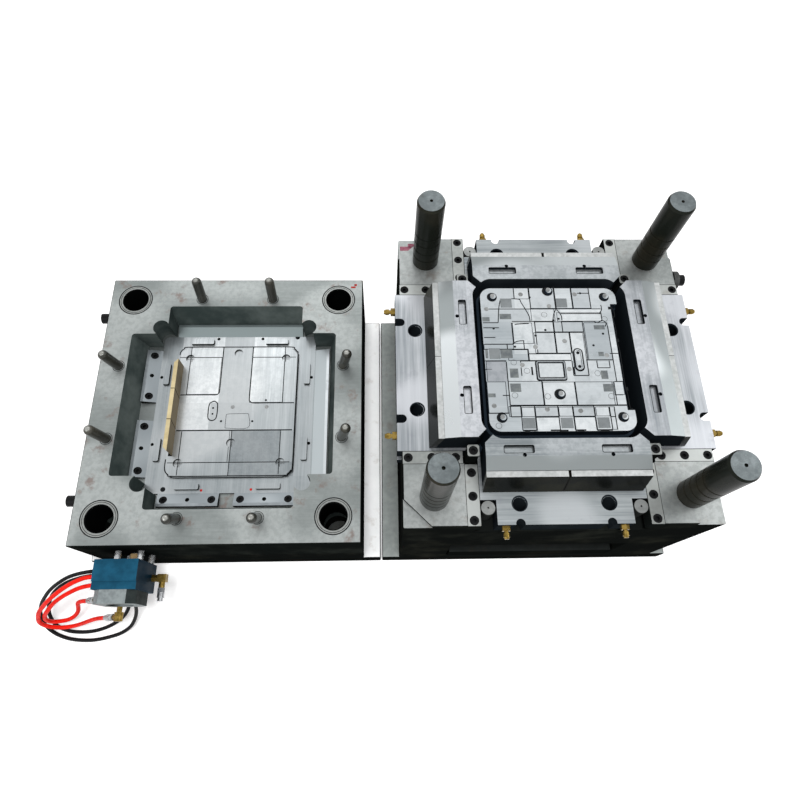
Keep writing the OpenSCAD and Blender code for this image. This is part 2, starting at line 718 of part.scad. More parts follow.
module cavity_cap_screws() {
    color("black") at_cavity() {
        for (p = wedge_screw_places()) translate([p[0], p[1], wedge_screw_z]) cap_screw(2 * screw_grip - 2);
        for (sy = [-1, 1]) translate([-base_w / 2, sy * strap_y, cav_z - strap_drop]) rotate([0, -90, 0]) {
            translate([0, 0, 1]) difference() {
                cylinder(h = 20, d = 26);
                translate([0, 0, 12]) cylinder(h = 9, d = 14, $fn = 6);
            }
            translate([0, 0, -28]) cylinder(h = 29 + eps, d = strap_screw_d);
        }
    }
}

module cylinder_posts() {
    color("whitesmoke") for (sx = [-1, 1], sz = [-1, 1])
        translate([rod_x + sx * post_half_x, -base_l / 2 - cyl_gap - 10, rod_z + sz * post_half_z])
            rotate([-90, 0, 0]) cylinder(h = cyl_gap + post_grip, d = post_d);
}

module cylinder_body() {
    front = -base_l / 2 - cyl_gap - cyl_d;
    color("steelblue") difference() {
        union() {
            translate([cyl_x, front + 17, cyl_z]) cube([cyl_w, cyl_d - 17, cyl_h]);
            translate([cyl_x, front, cyl_z]) cube([cyl_w, 17 + eps, cyl_h - 4]);
        }
        for (sx = [-1, 1], sz = [-1, 1]) translate([rod_x + sx * post_half_x, front + cyl_d - 10 - fit_gap, rod_z + sz * post_half_z])
            rotate([-90, 0, 0]) cylinder(h = 20, d = post_d + 2 * fit_gap);
        translate([rod_x, front + cyl_d - 50, rod_z]) rotate([-90, 0, 0]) cylinder(h = 60, d = pull_rod_d + 2 * slide_gap);
    }
}

module cylinder_end_cap() {
    cut = 17;
    side = cyl_w - 2 * cap_inset;
    color("gray") translate([cyl_x + cyl_w / 2, -base_l / 2 - cyl_gap - cyl_d, cyl_z + cyl_h / 2 + 3]) rotate([90, 0, 0])
        difference() {
            linear_extrude(cap_t) polygon(cut_corners(side, side + 10, cut));
            translate([0, 0, cap_t - 4]) cylinder(h = 5, d = cyl_w - 38);
        }
}

module pull_rod() {
    color("silver") translate([rod_x, -base_l / 2 - cyl_gap - 40, rod_z]) rotate([-90, 0, 0])
        cylinder(h = cyl_gap + 40 + pull_depth - 4, d = pull_rod_d);
}

module rod_coupling() {
    color("peru") translate([rod_x, -base_l / 2 - 14, rod_z]) rotate([-90, 0, 0]) difference() {
        cylinder(h = 12, d = 26, $fn = 6);
        translate([0, 0, -1]) cylinder(h = 14, d = pull_rod_d + 2 * fit_gap);
    }
}

// Turns children so that +Z points left and down, as the couplers on the end cap do
module droop() {
    rotate([0, -90 - coupler_droop, 0]) children();
}

module port_elbows() {
    right = cyl_x + cyl_w;
    color(brass) {
        translate([right, elbow_y, elbow_z]) {
            rotate([0, 90, 0]) cylinder(h = 14, d = 18, $fn = 6);
            translate([14, -9, -9]) cube([20, 18, 18]);
            translate([24, -8, 0]) rotate([90, 0, 0]) cylinder(h = 14, d = 14);
        }
        translate(coupler_a) {
            rotate([90, 0, 0]) cylinder(h = elbow_d, d = elbow_d, center = true);
            droop() cylinder(h = elbow_reach, d = 12);
            rotate([-90, 0, 0]) cylinder(h = cap_front - coupler_a[1], d = 12);
        }
        translate(coupler_b) {
            rotate([90, 0, 0]) cylinder(h = elbow_d, d = elbow_d, center = true);
            droop() cylinder(h = elbow_reach, d = 12);
            rotate([0, 90, 0]) cylinder(h = cyl_x + cap_inset - coupler_b[0], d = 12);
        }
    }
}

// Quick coupler body along +Z from z = 0
module coupler(l) {
    cylinder(h = l * 0.35, d = 17, $fn = 6);
    translate([0, 0, l * 0.35 - eps]) cylinder(h = l * 0.4 + 2 * eps, d = 16);
    translate([0, 0, l * 0.75]) cylinder(h = l * 0.25, d = 12);
}

module quick_couplers() {
    color("silver") {
        translate([cyl_x + cyl_w + coupler_out, elbow_y - coupler_front, elbow_z]) rotate([90, 0, 0]) coupler(coupler_l_c);
        translate(coupler_a) droop() translate([0, 0, elbow_reach]) coupler(coupler_l_a);
        translate(coupler_b) droop() translate([0, 0, elbow_reach]) coupler(coupler_l_b);
    }
}

// Ring of points round a route point, square to the route
function unit(v) = v / norm(v);
function heading(p, i) = unit(p[min(i + 1, len(p) - 1)] - p[max(i - 1, 0)]);
function side_of(t) = unit(cross(t, abs(t[2]) > 0.9 ? [1, 0, 0] : [0, 0, 1]));
function ring(p, i, r) = let (t = heading(p, i), s = side_of(t), u = cross(s, t))
    [for (k = [0 : hose_sides - 1]) p[i] + r * (cos(k * 360 / hose_sides) * s + sin(k * 360 / hose_sides) * u)];

// Tube swept along a route, closed at both ends
module hose(p, d) {
    n = len(p);
    points = [for (i = [0 : n - 1]) each ring(p, i, d / 2)];
    walls = [for (i = [0 : n - 2], k = [0 : hose_sides - 1]) let (a = i * hose_sides + k, b = i * hose_sides + (k + 1) % hose_sides)
        each [[a, b, b + hose_sides], [a, b + hose_sides, a + hose_sides]]];
    start = [for (k = [hose_sides - 1 : -1 : 0]) k];
    end = [for (k = [0 : hose_sides - 1]) (n - 1) * hose_sides + k];
    polyhedron(points, concat(walls, [start], [end]));
}

module red_hose_a() {
    color("red") hose(red_a_path, hose_d);
}

module red_hose_b() {
    color("red") hose(red_b_path, hose_d);
}

module black_hose_a() {
    color("black") hose(black_a_path, hose_d);
}

module black_hose_b() {
    color("black") hose(black_b_path, hose_d);
}

// Core half

module core_clamp_plate() {
    color(steel) difference() {
        plate(clamp_w, base_l, clamp_t, 0);
        translate([0, 0, -1]) cylinder(h = clamp_t + 2, d = knock_out_d);
        ledge_grooves();
    }
}

module spacer_blocks() {
    color(steel) for (s = [-1, 1]) translate([s * (base_w - spacer_w) / 2, 0, 0]) plate(spacer_w, base_l, spacer_h, clamp_t);
}

module support_plate() {
    color(steel) difference() {
        plate(base_w, base_l, support_t, spacer_top);
        ejector_holes(1);
        lifter_shafts(loose_gap);
    }
}

// Clearance holes for the ejector pins and the return pins
module ejector_holes(grow) {
    for (p = ejector_places) translate([p[0], p[1], ejector_top - 1]) cylinder(h = core_top, d = ejector_pin_d + 2 * grow);
    four(return_x, return_y) translate([0, 0, ejector_top - 1]) cylinder(h = core_top, d = return_pin_d + 2 * grow);
}

// One lifter, +X towards the mould's centre, its head's top at the core's face
module lifter(grow) {
    rotate([0, lifter_angle, 0]) translate([-lifter_t / 2 - grow, -lifter_w / 2 - grow, -2 * core_top])
        cube([lifter_t + 2 * grow, lifter_w + 2 * grow, 3 * core_top]);
}

module front_shafts(grow) {
    for (x = lifter_front_x) translate([x, lifter_front_y, core_top]) rotate([0, 0, 90]) lifter(grow);
}

module back_shafts(grow) {
    for (x = lifter_back_x) translate([x, lifter_back_y, core_top]) rotate([0, 0, -90]) lifter(grow);
}

module left_shafts(grow) {
    translate([lifter_left_x, lifter_left_y, core_top]) lifter(grow);
}

module lifter_shafts(grow) {
    front_shafts(grow);
    back_shafts(grow);
    left_shafts(grow);
}

// What a lifter keeps: from its foot on the retainer plate to the core's face
module lifter_slab() {
    translate([-base_w / 2, -base_l / 2, ejector_top + fit_gap]) cube([base_w, base_l, core_top - ejector_top - fit_gap]);
}

// The slides' channels, the gib strips' seats and the insert's pocket
module core_plate_cuts() {
    gap_lr = body_half_lr + slide_gap;
    gap_fb = body_half_fb + slide_gap;
    high = slide_drop + 1;
    translate([-base_w, -gap_lr - gib_w, ear_z]) cube([2 * base_w, 2 * (gap_lr + gib_w), high]);
    translate([-gap_fb - gib_w, -base_l, ear_z]) cube([2 * (gap_fb + gib_w), 2 * base_l, high]);
    translate([-base_w, -gap_lr - ear_w, floor_z]) cube([2 * base_w, 2 * (gap_lr + ear_w), high]);
    translate([-gap_fb - ear_w, -base_l, floor_z]) cube([2 * (gap_fb + ear_w), 2 * base_l, high]);
    translate([0, 0, support_top - 1]) linear_extrude(core_plate_t)
        round_rect(insert_base_w + 2 * fit_gap, insert_base_l + 2 * fit_gap, base_r);
}

module core_plate() {
    pry = 58;
    color("darkgray") difference() {
        plate(base_w, base_l, core_plate_t, support_top);
        core_plate_cuts();
        four(pillar_x, pillar_y) translate([0, 0, support_top - 1]) {
            cylinder(h = core_plate_t + 2, d = pillar_d + 2 * fit_gap);
            cylinder(h = 21 + fit_gap, d = pillar_d + 12 + 2 * fit_gap);
        }
        four(return_x, return_y) translate([0, 0, support_top - 1]) cylinder(h = core_plate_t, d = return_pin_d + 2 * slide_gap);
        for (p = gib_screw_places()) translate([p[0], p[1], ear_z]) cylinder(h = 2 * screw_grip, d = screw_shank + 2 * fit_gap, center = true);
        at_angle_pins() translate([1, 0, parting_z]) mirror([0, 0, 1]) leaning(pin_d + 8, pin_out + 4, 0);
        four(base_w / 2, base_l / 2) translate([0, 0, parting_z - 8]) linear_extrude(9) rotate(45) square(pry * 1.414, center = true);
        translate([base_w / 2, strap_y, parting_z - strap_drop]) rotate([0, 90, 0]) cylinder(h = 60, d = strap_screw_d + 2 * fit_gap, center = true);
        eyebolt_holes(support_top + eyebolt_rise);
    }
}

module support_pillars() {
    color(steel) four(post_x, post_y) translate([0, 0, clamp_t]) cylinder(h = spacer_h, d = pillar_post_d);
}

module ejector_base_plate() {
    color(steel) {
        difference() {
            translate([0, 0, ejector_low]) plate_block(ejector_w, ejector_l, ejector_base_t);
            four(post_x, post_y) cylinder(h = 3 * clamp_t, d = pillar_post_d + 2 * loose_gap);
            translate([0, 0, ejector_low - 1]) cylinder(h = 30, d = 20);
        }
        four(ejector_w / 2 - 30, ejector_l / 2 - 30) translate([0, 0, clamp_t + fit_gap]) cylinder(h = stop_h, d = 30);
    }
}

module plate_block(w, l, t) {
    translate([-w / 2, -l / 2, 0]) cube([w, l, t]);
}

module ejector_retainer_plate() {
    color(steel) difference() {
        translate([0, 0, retainer_z]) plate_block(ejector_w, ejector_l, ejector_retainer_t);
        four(post_x, post_y) translate([0, 0, retainer_z - 1]) cylinder(h = clamp_t, d = pillar_post_d + 2 * loose_gap);
        for (p = ejector_places) translate([p[0], p[1], retainer_z - 1]) {
            cylinder(h = ejector_retainer_t + 2, d = ejector_pin_d + 2 * fit_gap);
            cylinder(h = pin_head_h + 1 + fit_gap, d = 1.6 * ejector_pin_d + 2 * fit_gap);
        }
        four(return_x, return_y) translate([0, 0, retainer_z - 1]) {
            cylinder(h = ejector_retainer_t + 2, d = return_pin_d + 2 * fit_gap);
            cylinder(h = return_head_h + 1 + fit_gap, d = return_head + 2 * fit_gap);
        }
    }
}

module ejector_pins() {
    color("silver") for (p = ejector_places) translate([p[0], p[1], retainer_z]) {
        cylinder(h = pin_head_h, d = 1.6 * ejector_pin_d);
        cylinder(h = core_top - retainer_z, d = ejector_pin_d);
    }
}

module return_pins() {
    color("gray") four(return_x, return_y) translate([0, 0, retainer_z]) difference() {
        union() {
            cylinder(h = return_head_h, d = return_head);
            cylinder(h = parting_z - retainer_z - 1, d = return_pin_d);
            translate([0, 0, parting_z - retainer_z - 1]) cylinder(h = 1, d1 = return_pin_d, d2 = return_pin_d - 2);
        }
        translate([0, 0, parting_z - retainer_z - 6]) cylinder(h = 7, d = 4);
    }
}

// The moulded part's inner outline
module core_outline() {
    round_rect(part_w - 2 * rim_w, part_l - 2 * rim_w, part_r - rim_w);
}

module core_insert() {
    color(ground) difference() {
        union() {
            translate([0, 0, support_top]) linear_extrude(floor_z - support_top) round_rect(insert_base_w, insert_base_l, base_r);
            translate([0, 0, floor_z - 1]) linear_extrude(shoulder_z - floor_z + 1)
                round_rect(part_w - 2 * slide_gap, part_l - 2 * slide_gap, part_r - slide_gap);
            translate([0, 0, shoulder_z - 1]) linear_extrude(core_top - shoulder_z + 1) core_outline();
        }
        translate([-blade_x - blade_t / 2 - 4, blade_y - blade_l / 2 - 3, parting_z + slide_raise - blade_h - 12])
            cube([60, blade_l + 6, 200]);
        for (b = core_panel_boxes) translate([b[0] - fit_gap, b[1] - fit_gap, core_top - panel_d])
            cube([b[2] + 2 * fit_gap, b[3] + 2 * fit_gap, panel_d + 1]);
        for (p = boss_places) translate([p[0], p[1], core_top - 30]) cylinder(h = 31, r = boss_r + fit_gap);
        for (p = ejector_places) translate([p[0], p[1], support_top - 1]) cylinder(h = core_top, d = ejector_pin_d + 2 * fit_gap);
        lifter_shafts(slide_gap);
    }
}

module core_panels() {
    color("whitesmoke") difference() {
        intersection() {
            for (b = core_panel_boxes) translate([b[0], b[1], core_top - panel_d]) tile(b[2], b[3], panel_d, face_chamfer);
            linear_extrude(core_top + 1) core_outline();
        }
        for (p = ejector_places) translate([p[0], p[1], support_top]) cylinder(h = core_top, d = ejector_pin_d + 2 * fit_gap);
        lifter_shafts(slide_gap);
        for (p = boss_places) translate([p[0], p[1], core_top - 60]) cylinder(h = 80, r = boss_r + 1);
    }
}

module core_pins() {
    color("lightgray") for (p = boss_places) translate([p[0], p[1], core_top - boss_pin_l]) {
        cylinder(h = boss_pin_l - boss_pin_low, r = boss_r);
        cylinder(h = boss_pin_l + boss_tip_out, d = boss_tip_d);
    }
}

module lifters_front() {
    color(dark) intersection() {
        front_shafts(0);
        lifter_slab();
    }
}

module lifters_back() {
    color(dark) intersection() {
        back_shafts(0);
        lifter_slab();
    }
}

module lifters_left() {
    color(dark) intersection() {
        left_shafts(0);
        lifter_slab();
    }
}

module guide_pillars() {
    r = pillar_d / 2;
    h = core_plate_t + pillar_out;
    grooves = [for (k = [0 : 3]) core_plate_t + 30 + k * 26];
    color([0.25, 0.25, 0.24]) four(pillar_x, pillar_y) translate([0, 0, support_top]) difference() {
        union() {
            cylinder(h = 20, r = r + 6);
            cylinder(h = h - 6, r = r);
            translate([0, 0, h - 6]) cylinder(h = 6, r1 = r, r2 = r - 3);
        }
        for (z = grooves) translate([0, 0, z]) rotate_extrude() translate([r - 1, 0]) square([3, 4]);
        translate([0, 0, h - 12]) cylinder(h = 13, d = 7);
    }
}

function gib_x() = body_half_fb + slide_gap + gib_w / 2;
function gib_y() = body_half_lr + slide_gap + gib_w / 2;
function gib_steps(room) = floor((room - gib_edge - (corner_block + screw_head) / 2 - 2) / gib_pitch);
function strip_screw_places() = concat(
    [for (sx = [-1, 1], sy = [-1, 1], k = [0 : gib_steps(base_w / 2 - gib_x())])
        [sx * (base_w / 2 - gib_edge - k * gib_pitch), sy * gib_y()]],
    [for (sx = [-1, 1], sy = [-1, 1], k = [0 : gib_steps(base_l / 2 - gib_y())])
        [sx * gib_x(), sy * (base_l / 2 - gib_edge - k * gib_pitch)]]);
function gib_screw_places() = concat(strip_screw_places(),
    [for (sx = [-1, 1], sy = [-1, 1]) [sx * gib_x(), sy * gib_y()]]);

module gib_strips() {
    h = parting_z - ear_z;
    lx = base_w / 2 - gib_x() - gib_w / 2 - 1;
    ly = base_l / 2 - gib_y() - gib_w / 2 - 1;
    g = gib_w - fit_gap;
    color(steel) difference() {
        for (sx = [-1, 1], sy = [-1, 1]) {
            translate([sx > 0 ? base_w / 2 - lx : -base_w / 2, sy * gib_y() - gib_w / 2, ear_z])
                translate([0, sy > 0 ? 0 : fit_gap, 0]) tile(lx, g, h, 1);
            translate([sx * gib_x() - gib_w / 2, sy > 0 ? base_l / 2 - ly : -base_l / 2, ear_z])
                translate([sx > 0 ? 0 : fit_gap, 0, 0]) tile(g, ly, h, 1);
        }
        for (p = gib_screw_places()) translate([p[0], p[1], parting_z]) screw_hole(slide_drop, 1);
    }
}

module gib_screws() {
    color("black") for (i = [0 : len(gib_screw_places()) - 1]) let (p = gib_screw_places()[i], up = i < len(strip_screw_places()) ? 0 : corner_raise)
        translate([p[0], p[1], parting_z + up - 1]) cap_screw(parting_z + up - 1 - screw_head_h - ear_z + screw_grip - 2);
}

module corner_blocks() {
    top = parting_z + corner_raise;
    color(steel) for (sx = [-1, 1], sy = [-1, 1]) translate([sx * gib_x(), sy * gib_y(), 0]) difference() {
        translate([0, 0, ear_z]) linear_extrude(top - ear_z) round_rect(corner_block, corner_block, 4);
        translate([0, 0, top]) screw_hole(top, 1);
    }
}

// Slide body in its closed place, +X outwards: face is the distance of its moulding face,
// cross the half size of the moulded part across it
module slide_body(face, cross, land, band, body_half, tail_half, wide_end, pin_u, pin_v, notch_v, notch_deep, key_in, key_v) {
    u_land = face + land;
    u_band = u_land + band;
    u_heel = u_band + wear_t + heel_run;
    u_end = u_heel + tail_w;
    low = floor_z + fit_gap;
    top = parting_z + slide_raise;
    wide = body_half + ear_w;
    difference() {
        intersection() {
            union() {
                // Lower body with its tail and ears
                translate([face - part_r, -body_half, low]) cube([wide_end - face + part_r, 2 * body_half, parting_z - low]);
                translate([face, -tail_half, low]) cube([u_end - face, 2 * tail_half, parting_z - low]);
                translate([face - part_r, -wide, low]) cube([wide_end - face + part_r, 2 * wide, ear_h - slide_gap]);
                // Raised part, its heel cut back for the wear plates
                translate([0, body_half - shoulder, 0]) rotate([90, 0, 0]) linear_extrude(2 * (body_half - shoulder))
                    polygon([[face - part_r, parting_z - 1], [u_heel - wear_t, parting_z - 1], [u_heel - wear_t, parting_z],
                        [u_band, parting_z + heel_h], [u_band, parting_z + heel_h + band_top], [u_land, top], [face - part_r, top]]);
            }
            // Mitre against the neighbouring slides
            linear_extrude(2 * top) polygon([[face - part_r, -cross + part_r + slide_gap], [u_end + 1, -cross - u_end - 1 + face + slide_gap],
                [u_end + 1, cross + u_end + 1 - face - slide_gap], [face - part_r, cross - part_r - slide_gap]]);
        }
        linear_extrude(2 * top) round_rect(2 * face, 2 * cross, part_r);
        for (v = [-1, 1]) {
            translate([pin_u + pin_lead, v * pin_v, parting_z]) {
                mirror([0, 0, 1]) leaning(2 * pin_hole_r, slide_drop + 20, 10);
                translate([0, 0, -3]) cylinder(h = 4, r1 = pin_hole_r, r2 = pin_hole_r + 4);
            }
            translate([u_end - notch_deep + notch_w / 2, v * notch_v, low - 1]) cylinder(h = slide_drop + 2, d = notch_w);
            translate([u_end - notch_deep + notch_w / 2, v * notch_v - notch_w / 2, low - 1]) cube([notch_w * 2, notch_w, slide_drop + 2]);
            translate([face + key_in, v * key_v, top - key_h - 1]) linear_extrude(key_h + 2) round_rect(key_w + 1, key_l + 1, 3);
            translate([face + key_in + 12, v * (key_v - 10), top - 15]) cylinder(h = 16, d = 8);
        }
    }
}

module slide_lr() {
    slide_body(face_lr, face_fb, land_lr, band_lr, body_half_lr, body_half_lr, end_lr, pin_lr, pin_half_lr, notch_lr, 21, key_in_lr, key_v_lr);
}

module slide_fb() {
    slide_body(face_fb, face_lr, land_fb, band_fb, body_half_fb, tail_half_fb, wide_end_fb, pin_fb, pin_half_fb, notch_fb, 12, key_in_fb, key_v_fb);
}

// Two wear plates on a slide's heel
module wear_plates(face, land, band, half) {
    u_top = face + land + band;
    len_each = half - 0.5;
    for (s = [-1, 1]) translate([0, s > 0 ? 0.5 : -half, 0]) rotate([90, 0, 0]) translate([0, 0, -len_each]) linear_extrude(len_each)
        polygon([[u_top + heel_run, parting_z + fit_gap], [u_top + heel_run + wear_t - fit_gap, parting_z + fit_gap],
            [u_top + wear_t, parting_z + heel_h], [u_top + fit_gap, parting_z + heel_h]]);
}

// Brass nipple along +X from x = 0, with its bore
module nipple() {
    rotate([0, 90, 0]) difference() {
        union() {
            cylinder(h = nipple_l - 16, d = nipple_hex, $fn = 6);
            translate([0, 0, nipple_l - 16 - eps]) cylinder(h = 4 + 2 * eps, d = nipple_neck);
            translate([0, 0, nipple_l - 12]) cylinder(h = 8, d = nipple_d);
            translate([0, 0, nipple_l - 4 - eps]) cylinder(h = 4, d1 = nipple_d - 2, d2 = nipple_neck);
        }
        translate([0, 0, -1]) cylinder(h = 40, d = nipple_bore);
    }
}

module nipples(u_end, v) {
    for (s = [-1, 1]) translate([u_end, s * v, parting_z - nipple_drop]) nipple();
}

// Open places of the four slides
module place_right() {
    translate([slide_travel, 0, 0]) children();
}

module place_left() {
    translate([-slide_travel, 0, 0]) rotate([0, 0, 180]) children();
}

module place_back() {
    translate([0, slide_travel, 0]) rotate([0, 0, 90]) children();
}

module place_front() {
    translate([0, -slide_travel, 0]) rotate([0, 0, -90]) children();
}

module slide_left() {
    color(ground) place_left() slide_lr();
}

module slide_right() {
    color(ground) place_right() slide_lr();
}

module slide_front() {
    color(ground) place_front() slide_fb();
}

module slide_back() {
    color(ground) place_back() slide_fb();
}

module wear_lr() {
    wear_plates(face_lr, land_lr, band_lr, body_half_lr - shoulder);
}

module wear_fb() {
    wear_plates(face_fb, land_fb, band_fb, body_half_fb - shoulder);
}

module wear_plates_left() {
    color(dark) place_left() wear_lr();
}

module wear_plates_right() {
    color(dark) place_right() wear_lr();
}

module wear_plates_front() {
    color(dark) place_front() wear_fb();
}

module wear_plates_back() {
    color(dark) place_back() wear_fb();
}

module nipples_lr() {
    nipples(end_lr, nipple_v_lr);
}

module nipples_fb() {
    nipples(end_fb, nipple_v_fb);
}

module nipples_left() {
    color(brass) place_left() nipples_lr();
}

module nipples_right() {
    color(brass) place_right() nipples_lr();
}

module nipples_front() {
    color(brass) place_front() nipples_fb();
}

module nipples_back() {
    color(brass) place_back() nipples_fb();
}

module mould_strap() {
    color(steel) translate([base_w / 2 + strap_gap, strap_y, parting_z - strap_drop]) rotate([0, 90, 0]) difference() {
        linear_extrude(strap_t) union() {
            circle(d = strap_w);
            translate([0, -strap_w / 2]) square([strap_l - strap_w, strap_w]);
            translate([strap_l - strap_w, 0]) circle(d = strap_w);
        }
        translate([0, 0, -1]) cylinder(h = strap_t + 2, d = strap_screw_d + 2 * fit_gap);
        translate([strap_l - strap_w, 0, -1]) cylinder(h = strap_t + 2, d = strap_screw_d + 4);
    }
}

module strap_screw() {
    head_x = base_w / 2 + strap_t + 2 * strap_gap;
    color("black") translate([0, strap_y, parting_z - strap_drop]) {
        translate([base_w / 2 - 28, 0, 0]) rotate([0, 90, 0]) cylinder(h = head_x - base_w / 2 + 28 + eps, d = strap_screw_d);
        translate([head_x, 0, 0]) rotate([0, 90, 0]) difference() {
            cylinder(h = 16, d = 26);
            translate([0, 0, 8]) cylinder(h = 9, d = 14, $fn = 6);
        }
    }
}

cavity_clamp_plate();
locating_ring();
sprue_bush();
hot_runner_plate();
manifold();
nozzles();
cavity_plate();
guide_bushes();
angle_pins();
cavity_insert();
cavity_panels();
bronze_blade();
wedge_blocks();
locking_bars();
cavity_cap_screws();
cylinder_posts();
cylinder_body();
cylinder_end_cap();
pull_rod();
rod_coupling();
port_elbows();
quick_couplers();
red_hose_a();
red_hose_b();
black_hose_a();
black_hose_b();
core_clamp_plate();
spacer_blocks();
support_plate();
core_plate();
support_pillars();
ejector_base_plate();
ejector_retainer_plate();
ejector_pins();
return_pins();
core_insert();
core_panels();
core_pins();
lifters_front();
lifters_back();
lifters_left();
guide_pillars();
gib_strips();
gib_screws();
corner_blocks();
slide_left();
slide_right();
slide_front();
slide_back();
wear_plates_left();
wear_plates_right();
wear_plates_front();
wear_plates_back();
nipples_left();
nipples_right();
nipples_front();
nipples_back();
mould_strap();
strap_screw();
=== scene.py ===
import bpy
import math
from mathutils import Matrix, Vector


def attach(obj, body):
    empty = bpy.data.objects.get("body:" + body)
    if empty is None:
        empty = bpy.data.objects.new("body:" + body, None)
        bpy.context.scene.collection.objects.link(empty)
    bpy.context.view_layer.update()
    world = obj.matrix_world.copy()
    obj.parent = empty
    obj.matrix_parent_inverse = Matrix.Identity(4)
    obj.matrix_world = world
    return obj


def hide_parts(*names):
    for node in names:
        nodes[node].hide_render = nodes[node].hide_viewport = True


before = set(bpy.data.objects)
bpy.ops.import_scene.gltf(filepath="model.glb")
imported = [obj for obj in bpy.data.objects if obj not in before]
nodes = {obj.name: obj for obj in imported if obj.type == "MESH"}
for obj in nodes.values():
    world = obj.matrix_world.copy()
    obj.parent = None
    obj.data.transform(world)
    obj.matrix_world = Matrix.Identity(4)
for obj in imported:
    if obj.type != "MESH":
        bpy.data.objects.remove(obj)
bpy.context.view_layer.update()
scene = bpy.context.scene

# Heights in mm of the faces that the thin trim lies on
CORE_FACE = 515.0
SLIDE_FACE = 525.0
CORNER_FACE = 448.0
PLATE_FACE = 280.0
PANEL_FACE = 218.5
LAND_FACE = 210.7

# Places and heights in metres, as the materials read them
CAVITY_X = -0.740
CAVITY_TOP = PLATE_FACE / 1000
PARTING_Z = 0.456
CORE_TOP = CORE_FACE / 1000

# Levels in metres from which the faces that lie up are ground, just under the lowest of them
PLATE_GROUND = 0.4475
CAVITY_GROUND = 0.2045
SLIDE_GROUND = 0.4195
HEAD_GROUND = 0.5145
LEDGE_GROUND = 0.0495


def add_camera():
    """The camera that was fitted to the photograph: its axes, its place in metres and its lens."""
    data = bpy.data.cameras.new("photo_camera")
    camera = bpy.data.objects.new("photo_camera", data)
    scene.collection.objects.link(camera)
    data.sensor_width = 36.0
    data.lens = 27.704
    data.clip_end = 30.0
    right = Vector((0.99955, -0.01678, 0.02472))
    up = Vector((0.00608, 0.92435, 0.38151))
    back = -Vector((0.02926, 0.38119, -0.92403))
    turn = Matrix((right, up, back)).transposed().to_4x4()
    camera.matrix_world = Matrix.Translation((-0.3662, -0.5751, 1.6722)) @ turn
    scene.camera = camera


add_camera()


# The hoses' middle lines in mm, the same as in part.scad
HOSE_ROUTES = {
    "red_hose_a": [(-1010, -402, 205), (-1039, -402, 205), (-1066, -411, 204), (-1091, -424, 199),
        (-1114, -437, 187), (-1135, -449, 172), (-1154, -461, 153), (-1171, -471, 132), (-1183, -481, 108),
        (-1190, -491, 82), (-1184, -498, 56), (-1164, -501, 39), (-1137, -499, 36), (-1111, -495, 48),
        (-1088, -491, 66), (-1065, -487, 86), (-1043, -485, 104), (-1021, -485, 120)],
    "red_hose_b": [(-1010, -418, 186), (-1037, -418, 186), (-1064, -423, 182), (-1089, -432, 174),
        (-1112, -442, 163), (-1133, -453, 149), (-1151, -466, 132), (-1166, -476, 112), (-1175, -484, 88),
        (-1174, -488, 64), (-1162, -487, 47), (-1143, -483, 42), (-1125, -475, 50), (-1111, -465, 67),
        (-1103, -456, 88), (-1095, -450, 109), (-1079, -448, 129), (-1057, -448, 144)],
    "black_hose_a": [(-1010, -384, 168), (-1044, -384, 168), (-1078, -388, 163), (-1109, -395, 152),
        (-1137, -406, 136), (-1162, -418, 116), (-1183, -432, 94), (-1201, -448, 70), (-1212, -468, 45),
        (-1207, -493, 23), (-1184, -513, 11), (-1153, -525, 7), (-1120, -530, 7), (-1086, -530, 7),
        (-1052, -524, 8), (-1021, -515, 13), (-994, -500, 27), (-977, -480, 49), (-968, -462, 76),
        (-965, -448, 107), (-965, -448, 141)],
    "black_hose_b": [(-1010, -390, 146), (-1042, -390, 146), (-1072, -392, 139), (-1102, -397, 129),
        (-1130, -404, 115), (-1154, -414, 99), (-1175, -429, 80), (-1188, -449, 59), (-1192, -472, 38),
        (-1181, -494, 20), (-1155, -507, 10), (-1124, -511, 7), (-1092, -509, 7), (-1062, -501, 8),
        (-1034, -488, 15), (-1011, -471, 28), (-997, -450, 47), (-989, -430, 70), (-985, -416, 99),
        (-985, -416, 130)],
}


def spline_points(points, steps=5):
    """Points along a smooth line through the route."""
    made = []
    for i in range(len(points) - 1):
        a = points[max(i - 1, 0)]
        b = points[i]
        c = points[i + 1]
        d = points[min(i + 2, len(points) - 1)]
        for k in range(steps):
            t = k / steps
            made.append(0.5 * ((2 * b) + (c - a) * t + (2 * a - 5 * b + 4 * c - d) * t * t
                + (3 * b - a - 3 * c + d) * t * t * t))
    made.append(points[-1])
    return made


def new_curve(name, depth, resolution):
    data = bpy.data.curves.new(name, "CURVE")
    data.dimensions = "3D"
    data.bevel_depth = depth
    data.bevel_resolution = resolution
    return data


def add_line(data, places):
    spline = data.splines.new("POLY")
    spline.points.add(len(places) - 1)
    for point, place in zip(spline.points, places):
        point.co = (*place, 1.0)
    return spline


def settled(point, diameter, cad_diameter=0.012, clear=0.06):
    """The route's point let down, where the hose lies low, by what it is thinner than in the CAD."""
    place = Vector(point) * 0.001
    low = min(max((clear - place.z) / (clear - cad_diameter), 0.0), 1.0)
    return place - Vector((0.0, 0.0, low * (cad_diameter - diameter) / 2))


def add_hose(node, diameter):
    route = [settled(point, diameter) for point in HOSE_ROUTES[node]]
    line = spline_points(route)
    data = new_curve(node + "_tube", 1.0, 6)
    data.use_fill_caps = True
    spline = add_line(data, line)
    for point in spline.points:
        point.radius = diameter / 2
    spline.use_smooth = True
    hose = bpy.data.objects.new(node + "_tube", data)
    scene.collection.objects.link(hose)
    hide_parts(node)
    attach(hose, "cavity_half")
    return hose


hoses = {name: add_hose(name, 0.010 if name.startswith("red") else 0.009) for name in HOSE_ROUTES}


